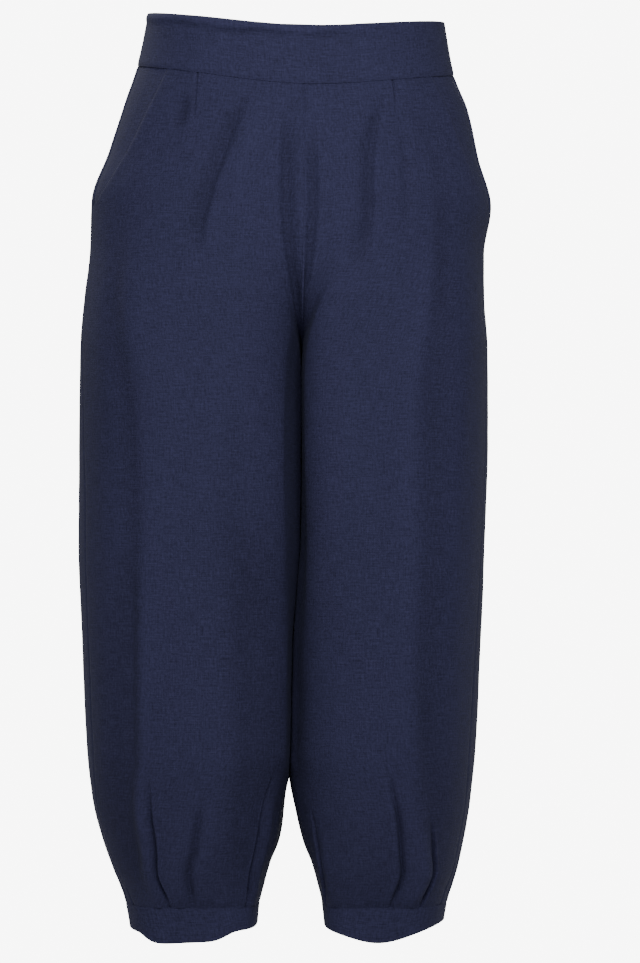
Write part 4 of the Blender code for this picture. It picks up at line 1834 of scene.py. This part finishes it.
@dataclass(frozen=True)
class Trousers:
    """The whole garment, from one cloth in two finishes.

    Attributes:
        linen: Finish of the legs and bands.
        facing: Finish of the pocket facings, the same cloth.
    """

    linen: LinenFinish = LinenFinish("navy_linen_cloth")
    facing: LinenFinish = LinenFinish("navy_linen_shaded")

    def build(self) -> None:
        """Make every piece in sewing order: the legs with their pockets and hems, the waist."""
        weave = LinenWeave().build()
        linen, facing = self.linen.build(weave), self.facing.build(weave)
        for side in Side:
            FrontLeg(side=side, finish=linen).build()
            BackLeg(side=side, finish=linen).build()
            PocketFacing(side=side, finish=facing).build()
            HemBand(side=side, finish=linen).build()
        Waistband(front=True, finish=linen).build()
        Waistband(front=False, finish=linen).build()


@dataclass(frozen=True)
class Lamp:
    """A square soft light.

    Attributes:
        name: Its name.
        place: Where it stands.
        size: Its edge in metres.
        power: Its power in watts.
    """

    name: str
    place: Point
    size: float
    power: float

    def build(self, target: Point) -> None:
        """Add the light and turn it to a point.

        Args:
            target: The point that it faces.
        """
        data = bpy.data.lights.new(self.name, "AREA")
        data.size = self.size
        data.energy = self.power
        lamp = bpy.data.objects.new(self.name, data)
        lamp.location = self.place
        aim = Vector(target) - Vector(self.place)
        lamp.rotation_euler = aim.to_track_quat("-Z", "Y").to_euler()
        bpy.context.scene.collection.objects.link(lamp)


# The key light stands in front and above. The others stand behind the garment.
LAMPS = (
    Lamp("key", (0.1, -1.9, 0.8), 1.2, 79),
    Lamp("high rim", (-1.5, 1.5, 2.0), 0.8, 80),
    Lamp("low rim", (2.0, 1.4, -0.5), 0.8, 10),
    Lamp("behind", (0.2, 2.6, 0.6), 1.2, 50),
)


def seen_brighter(tree: bpy.types.NodeTree, output: str, plain: str, bright: str) -> None:
    """Show the camera a brighter shader of a stage than the one that lights the garment.

    Args:
        tree: The node tree.
        output: Name of its output node.
        plain: Name of the shader that the garment meets.
        bright: Name of the shader that the camera sees.
    """
    path = tree.nodes.new("ShaderNodeLightPath")
    mix = tree.nodes.new("ShaderNodeMixShader")
    tree.links.new(path.outputs["Is Camera Ray"], mix.inputs[0])
    tree.links.new(tree.nodes[plain].outputs[0], mix.inputs[1])
    tree.links.new(tree.nodes[bright].outputs[0], mix.inputs[2])
    tree.links.new(mix.outputs[0], tree.nodes[output].inputs["Surface"])


@dataclass(frozen=True)
class Studio:
    """Pale floor, soft lights and the camera of the photograph.

    Attributes:
        camera_place: Where the camera stands.
        half_view: Half of the height that it sees at the middle of the garment.
        view_end: How far it sees.
        target: The point that the lights face.
        floor_height: Height of the floor.
        floor_half: Half of its edge.
        floor_colour: Its colour under the lights.
        floor_roughness: Its roughness.
        surround: Strength of the even light from all round.
        backdrop: Strength of floor and surround as the camera sees them.
    """

    camera_place: Point = (0.024, -3.0, -0.431)
    half_view: float = 0.4749
    view_end: float = 60.0
    target: Point = (0.0, 0.0, -0.15)
    floor_height: float = -0.960
    floor_half: float = 14.0
    floor_colour: Colour = (0.6, 0.6, 0.6)
    floor_roughness: float = 0.9
    surround: float = 0.40
    backdrop: float = 8.0

    def camera(self) -> None:
        """Place the camera straight in front, level with the middle of the garment."""
        data = bpy.data.cameras.new("view")
        data.sensor_fit = "VERTICAL"
        data.angle = 2 * math.atan(self.half_view / -self.camera_place[1])
        data.clip_end = self.view_end
        camera = bpy.data.objects.new("view", data)
        camera.location = self.camera_place
        camera.rotation_euler = (math.pi / 2, 0, 0)
        bpy.context.scene.collection.objects.link(camera)
        bpy.context.scene.camera = camera

    def floor(self) -> None:
        """Lay a wide pale floor under the hems."""
        half, z = self.floor_half, self.floor_height
        corners = [(-half, -half, z), (half, -half, z), (half, half, z), (-half, half, z)]
        mesh = bpy.data.meshes.new("floor")
        mesh.from_pydata(corners, [], [(0, 1, 2, 3)])
        material = bpy.data.materials.new("pale_floor")
        material.use_nodes = True
        tree = material.node_tree
        shader = tree.nodes["Principled BSDF"]
        shader.inputs["Base Color"].default_value = (*self.floor_colour, 1.0)
        shader.inputs["Roughness"].default_value = self.floor_roughness
        bright = tree.nodes.new("ShaderNodeEmission")
        bright.inputs["Strength"].default_value = self.backdrop
        seen_brighter(tree, "Material Output", shader.name, bright.name)
        mesh.materials.append(material)
        floor = bpy.data.objects.new("floor", mesh)
        bpy.context.scene.collection.objects.link(floor)

    def world(self) -> None:
        """Light everything evenly with a white surround."""
        world = bpy.data.worlds.new("surround")
        world.use_nodes = True
        tree = world.node_tree
        even = tree.nodes["Background"]
        bright = tree.nodes.new("ShaderNodeBackground")
        for shader, strength in ((even, self.surround), (bright, self.backdrop)):
            shader.inputs["Color"].default_value = (1.0, 1.0, 1.0, 1.0)
            shader.inputs["Strength"].default_value = strength
        seen_brighter(tree, "World Output", even.name, bright.name)
        bpy.context.scene.world = world

    def build(self) -> None:
        """Set the camera, the floor, the surround and the lights."""
        self.camera()
        self.floor()
        self.world()
        for lamp in LAMPS:
            lamp.build(self.target)


def main() -> None:
    """Build the studio and the trousers."""
    logging.basicConfig(level=logging.INFO, format="%(name)s %(message)s")
    Studio().build()
    log.info("studio ready")
    Trousers().build()
    log.info("trousers ready")


if __name__ == "__main__":
    main()
